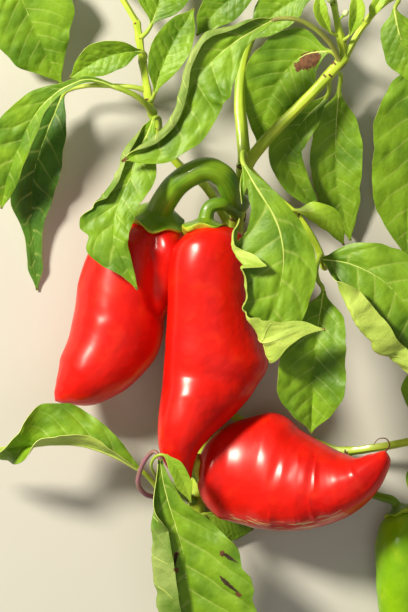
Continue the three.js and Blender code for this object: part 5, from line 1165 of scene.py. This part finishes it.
def colour_of(name, description, hex_colour):
    return FloatVectorProperty(name=name, description=description, default=linear(hex_colour), size=4,
                               min=0, max=1, subtype="COLOR")


class BranchSizes(bpy.types.PropertyGroup):
    """Sizes of the branch's fine detail."""

    blade_thickness: length_of("Blade thickness", "Thickness of a leaf's blade", 0.45, 0.2, 1.2)
    quilt_height: length_of("Quilting", "Height of a leaf's pillows between its side veins", 0.8, 0, 1.5)
    margin_ruffle: length_of("Margin ruffle", "Height of the waves along a leaf's edge", 1.5, 0, 4)
    vein_height: length_of("Side vein", "Radius of a side vein under a leaf", 0.34, 0.05, 0.8)
    stem_rib: length_of("Stem rib", "Height of the ribs that run along a stem", 0.22, 0, 0.6)
    calyx_tooth: length_of("Calyx tooth", "Half length of the teeth of a calyx that is 20 mm across", 1.0, 0, 3)
    fruit_unevenness: FloatProperty(
        name="Fruit unevenness", description="Scales the swellings and crinkles of a fruit",
        default=1.0, min=0, max=2)
    bud_count: IntProperty(name="Buds", description="Flower buds at the growing tip", default=5, min=0, max=6)


class BranchColours(bpy.types.PropertyGroup):
    """Colours of the branch's finishes."""

    leaf_upper: colour_of("Leaf", "Upper face of a grown leaf", "#7fa71e")
    leaf_deep: colour_of("Leaf, deep", "Deeper patches of a grown leaf", "#567f10")
    # The shaded leaf colours are painted shade: darker copies of the grown leaf's greens.
    leaf_shade: colour_of("Shaded leaf", "Upper face of a leaf, darkened as painted shade", "#4c7a1c")
    leaf_shade_deep: colour_of("Shaded leaf, deep", "Deeper patches of the leaf darkened as painted shade", "#35600f")
    leaf_young: colour_of("Young leaf", "Upper face of a young leaf", "#a4c834")
    leaf_lower: colour_of("Under face", "Under face of a leaf", "#b6cc58")
    leaf_lower_deep: colour_of("Under face, deep", "Deeper patches of an under face", "#9cb846")
    # Darker, greyer under face of three rolled leaves: painted shade on their rolled edges.
    leaf_lower_painted_shade: colour_of("Under face, painted shade", "Under face of a rolled leaf, darkened as painted shade", "#8fa552")
    leaf_vein: colour_of("Vein", "Midrib and side veins", "#ccd876")
    petiole: colour_of("Petiole", "Green leaf stalk", "#b4c84e")
    petiole_purple: colour_of("Purple petiole", "Leaf stalk flushed by the sun", "#a8648a")
    petiole_dull: colour_of("Purple petiole, dull", "Greener streaks of a flushed leaf stalk", "#86704e")
    stem: colour_of("Stem", "Skin of the stems", "#c2d63c")
    stem_deep: colour_of("Stem, deep", "Green streaks of the stems", "#92b428")
    calyx: colour_of("Fruit stalk", "Skin of the fruit stalks and calyxes", "#7da01c")
    calyx_deep: colour_of("Fruit stalk, deep", "Deeper streaks of the fruit stalks", "#4c7814")
    calyx_rim: colour_of("Calyx rim", "Thin rim of a calyx", "#c2c83c")
    ripe: colour_of("Ripe skin", "Skin of a ripe fruit", "#de1404")
    ripe_deep: colour_of("Ripe skin, deep", "Deeper patches of a ripe fruit", "#c60a03")
    ripe_bright: colour_of("Ripe skin, bright", "Orange patches of a ripe fruit", "#e6300c")
    unripe: colour_of("Unripe skin", "Skin of the unripe fruit", "#88b806")
    unripe_deep: colour_of("Unripe skin, deep", "Deeper patches of the unripe fruit", "#6fa406")
    unripe_bright: colour_of("Unripe skin, bright", "Paler patches of the unripe fruit", "#b0cc14")
    dry: colour_of("Dry tissue", "Dried tips, spots and scars", "#7e5230")
    dry_deep: colour_of("Dry tissue, deep", "Darker dried tissue", "#4c2c16")
    # Near-black painted shade inside the leaves' slits; the browner colour below is real rotted tissue.
    rot: colour_of("Slit painted shade", "Near-black painted shade in a leaf's slits", "#18140a")
    rot_edge: colour_of("Slit painted shade, edge", "Browner patches of that tissue", "#4a341a")
    cork: colour_of("Cork", "Corky scratches on a ripe fruit", "#d9b27c")
    wood: colour_of("Cut wood", "Wood at the stem's cut end", "#d9d39a")
    bud: colour_of("Bud", "Closed petals of a flower bud", "#e6ecc0")
    floor: colour_of("Floor", "The plain pale floor", "#c6c4bc")


class BRANCH_OT_stems(bpy.types.Operator):
    """Grows the ribbed stems, shoots and twigs in place of their plain solids."""

    bl_idname = "branch.stems"
    bl_label = "Stems"
    bl_options = {"REGISTER", "UNDO"}

    def execute(self, context):
        sizes, colours = context.scene.branch_sizes, context.scene.branch_colours
        finishes = [
            grown_skin("green_stem_skin", colours.stem, colours.stem_deep, 0.42, coat=0.15),
            dry_tissue("node_scar_cork", colours.dry, colours.dry_deep),
            grown_skin("cut_stem_skin", colours.stem_deep, colours.stem, 0.5),
            dry_tissue("cut_stem_wood", colours.wood, colours.leaf_lower, 0.8, 0.7),
            dry_tissue("cut_stem_pith", colours.bud, colours.wood, 0.6, 0.85),
        ]
        for limb in LIMBS:
            grow_limb(limb, sizes, finishes)
        return {"FINISHED"}


class BRANCH_OT_stalks(bpy.types.Operator):
    """Grows the fruit stalks, each spreading into its calyx."""

    bl_idname = "branch.stalks"
    bl_label = "Fruit stalks"
    bl_options = {"REGISTER", "UNDO"}

    def execute(self, context):
        sizes, colours = context.scene.branch_sizes, context.scene.branch_colours
        finishes = [
            grown_skin("fruit_stalk_skin", colours.calyx, colours.calyx_deep, 0.4, (1.0, 12), 0.2),
            grown_skin("calyx_rim_skin", colours.calyx_rim, colours.calyx, 0.45),
        ]
        for stalk in STALKS:
            grow_stalk(stalk, sizes, finishes)
        return {"FINISHED"}


class BRANCH_OT_fruits(bpy.types.Operator):
    """Grows the ripe and unripe fruits."""

    bl_idname = "branch.fruits"
    bl_label = "Fruits"
    bl_options = {"REGISTER", "UNDO"}

    def execute(self, context):
        sizes, colours = context.scene.branch_sizes, context.scene.branch_colours
        ripe = (colours.ripe, colours.ripe_deep, colours.ripe_bright)
        unripe = (colours.unripe, colours.unripe_deep, colours.unripe_bright)
        skins = {
            "ripe": [
                pepper_skin("ripe_pepper_skin", *ripe),
                pepper_skin("scratched_pepper_skin", *ripe, colours.cork),
            ],
            "unripe": [pepper_skin("unripe_pepper_skin", *unripe)],
        }
        for fruit in FRUITS:
            grow_fruit(fruit, sizes, skins[fruit["skin"]])
        return {"FINISHED"}


class BRANCH_OT_leaves(bpy.types.Operator):
    """Grows the quilted leaves with their petioles, ribs, holes and dry spots."""

    bl_idname = "branch.leaves"
    bl_label = "Leaves"
    bl_options = {"REGISTER", "UNDO"}

    def execute(self, context):
        sizes, colours = context.scene.branch_sizes, context.scene.branch_colours
        faces = {kind: leaf_finishes(colours, kind) for kind in ("mature", "shade", "young")}
        green, purple, flush = colours.petiole, colours.petiole_purple, colours.petiole_dull
        petioles = {
            "green": grown_skin("green_petiole_skin", green, colours.stem_deep, 0.45),
            "flushed": grown_skin("flushed_petiole_skin", flush, green, 0.45, (1.2, 14)),
            "purple": grown_skin("purple_petiole_skin", purple, flush, 0.45, (2.4, 9)),
        }
        # Three rolled leaves take a darker, greyer under face: painted shade on their rolled edges.
        dull = leaf_face("leaf_under_face_painted_shade", colours.leaf_lower_painted_shade, colours.leaf_deep, colours.leaf_vein,
                         0.6, 1.7, 0.3)
        dry = dry_tissue("dried_leaf", colours.dry, colours.dry_deep)
        # The slits' finish: near-black painted shade mixed with browner rotted tissue.
        slit_shade_and_rot = dry_tissue("leaf_slit_shade_and_rot", colours.rot, colours.rot_edge, 0.8)
        for leaf in LEAVES:
            upper, lower, rib = faces[leaf.get("age", "mature")]
            lower = dull if leaf.get("under") == "dull" else lower
            petiole = petioles[leaf.get("petiole", "green")]
            grow_leaf(leaf, sizes, [upper, lower, rib, petiole, rib, dry, slit_shade_and_rot])
        return {"FINISHED"}


class BRANCH_OT_small_parts(bpy.types.Operator):
    """Grows the flower buds at the tip and the dried style on a fruit."""

    bl_idname = "branch.small_parts"
    bl_label = "Buds and dried style"
    bl_options = {"REGISTER", "UNDO"}

    def execute(self, context):
        sizes, colours = context.scene.branch_sizes, context.scene.branch_colours
        green = grown_skin("bud_stalk_skin", colours.leaf_young, colours.leaf_upper, 0.5)
        petals = grown_skin("closed_petals", colours.bud, colours.leaf_young, 0.55)
        grow_buds(sizes, [green, petals])
        grow_dried_style([dry_tissue("dried_style_thread", colours.dry_deep, colours.dry)])
        return {"FINISHED"}


class BRANCH_OT_stage(bpy.types.Operator):
    """Lays the pale floor and sets the soft lights and the camera that looks straight down."""

    bl_idname = "branch.stage"
    bl_label = "Stage"
    bl_options = {"REGISTER", "UNDO"}

    def execute(self, context):
        scene = context.scene
        # Uncoated paper, rolled and matt: an even pale ground with no highlight
        material, tree, shader = new_finish("matt_paper_sweep", Roughness=0.9)
        tone = two_tone(tree, blotches(tree, 300), 0.3, 0.7, scene.branch_colours.floor, FLOOR_CLOUD, 0.05)
        tree.links.new(tone, shader.inputs["Base Color"])
        mesh = bpy.data.meshes.new("floor")
        corners = [(-1, -1), (1, -1), (1, 1), (-1, 1)]
        mesh.from_pydata([(x * FLOOR_REACH, y * FLOOR_REACH, 0) for x, y in corners], [], [(0, 1, 2, 3)])
        mesh.materials.append(material)
        floor = bpy.data.objects.new("floor", mesh)
        scene.collection.objects.link(floor)

        world = bpy.data.worlds.new("studio")
        world.use_nodes = True
        world.node_tree.nodes["Background"].inputs[0].default_value = SKY
        world.node_tree.nodes["Background"].inputs[1].default_value = AMBIENT
        scene.world = world
        scene.view_settings.view_transform = "Standard"

        for name, place, across, power, colour in LIGHTS:
            lamp = bpy.data.lights.new(name, "AREA")
            lamp.shape, lamp.size, lamp.energy, lamp.color = "DISK", across, power, colour
            light = bpy.data.objects.new(name, lamp)
            light.location = Vector(place)
            light.visible_glossy = name == "key"
            light.rotation_mode = "QUATERNION"
            light.rotation_quaternion = (-Vector(place)).to_track_quat("-Z", "Y")
            scene.collection.objects.link(light)

        lens = bpy.data.cameras.new("camera")
        lens.sensor_width = 36
        lens.lens = lens.sensor_width * (CAMERA_HEIGHT - FOCUS_HEIGHT) / FRAME_HEIGHT
        lens.clip_start, lens.clip_end = 0.1, 20
        camera = bpy.data.objects.new("camera", lens)
        camera.location = (-MIDDLE[0] * MM, -MIDDLE[1] * MM, CAMERA_HEIGHT)
        scene.collection.objects.link(camera)
        scene.camera = camera
        return {"FINISHED"}


OPERATORS = (
    BRANCH_OT_stage, BRANCH_OT_stems, BRANCH_OT_stalks, BRANCH_OT_fruits, BRANCH_OT_leaves, BRANCH_OT_small_parts,
)


class BRANCH_PT_panel(bpy.types.Panel):
    """Lists the branch's operators, sizes and colours."""

    bl_label = "Chilli pepper branch"
    bl_idname = "BRANCH_PT_panel"
    bl_space_type = "VIEW_3D"
    bl_region_type = "UI"
    bl_category = "Branch"

    def draw(self, context):
        for operator in OPERATORS:
            self.layout.operator(operator.bl_idname)
        for group in (context.scene.branch_sizes, context.scene.branch_colours):
            box = self.layout.box()
            for name in type(group).__annotations__:
                box.prop(group, name)


CLASSES = (BranchSizes, BranchColours, *OPERATORS, BRANCH_PT_panel)


def register():
    for made in CLASSES:
        bpy.utils.register_class(made)
    bpy.types.Scene.branch_sizes = PointerProperty(type=BranchSizes)
    bpy.types.Scene.branch_colours = PointerProperty(type=BranchColours)


def unregister():
    del bpy.types.Scene.branch_sizes
    del bpy.types.Scene.branch_colours
    for made in reversed(CLASSES):
        bpy.utils.unregister_class(made)


def main():
    register()
    bpy.ops.branch.stage()
    bpy.ops.branch.stems()
    bpy.ops.branch.stalks()
    bpy.ops.branch.fruits()
    bpy.ops.branch.leaves()
    bpy.ops.branch.small_parts()


if __name__ == "__main__":
    main()
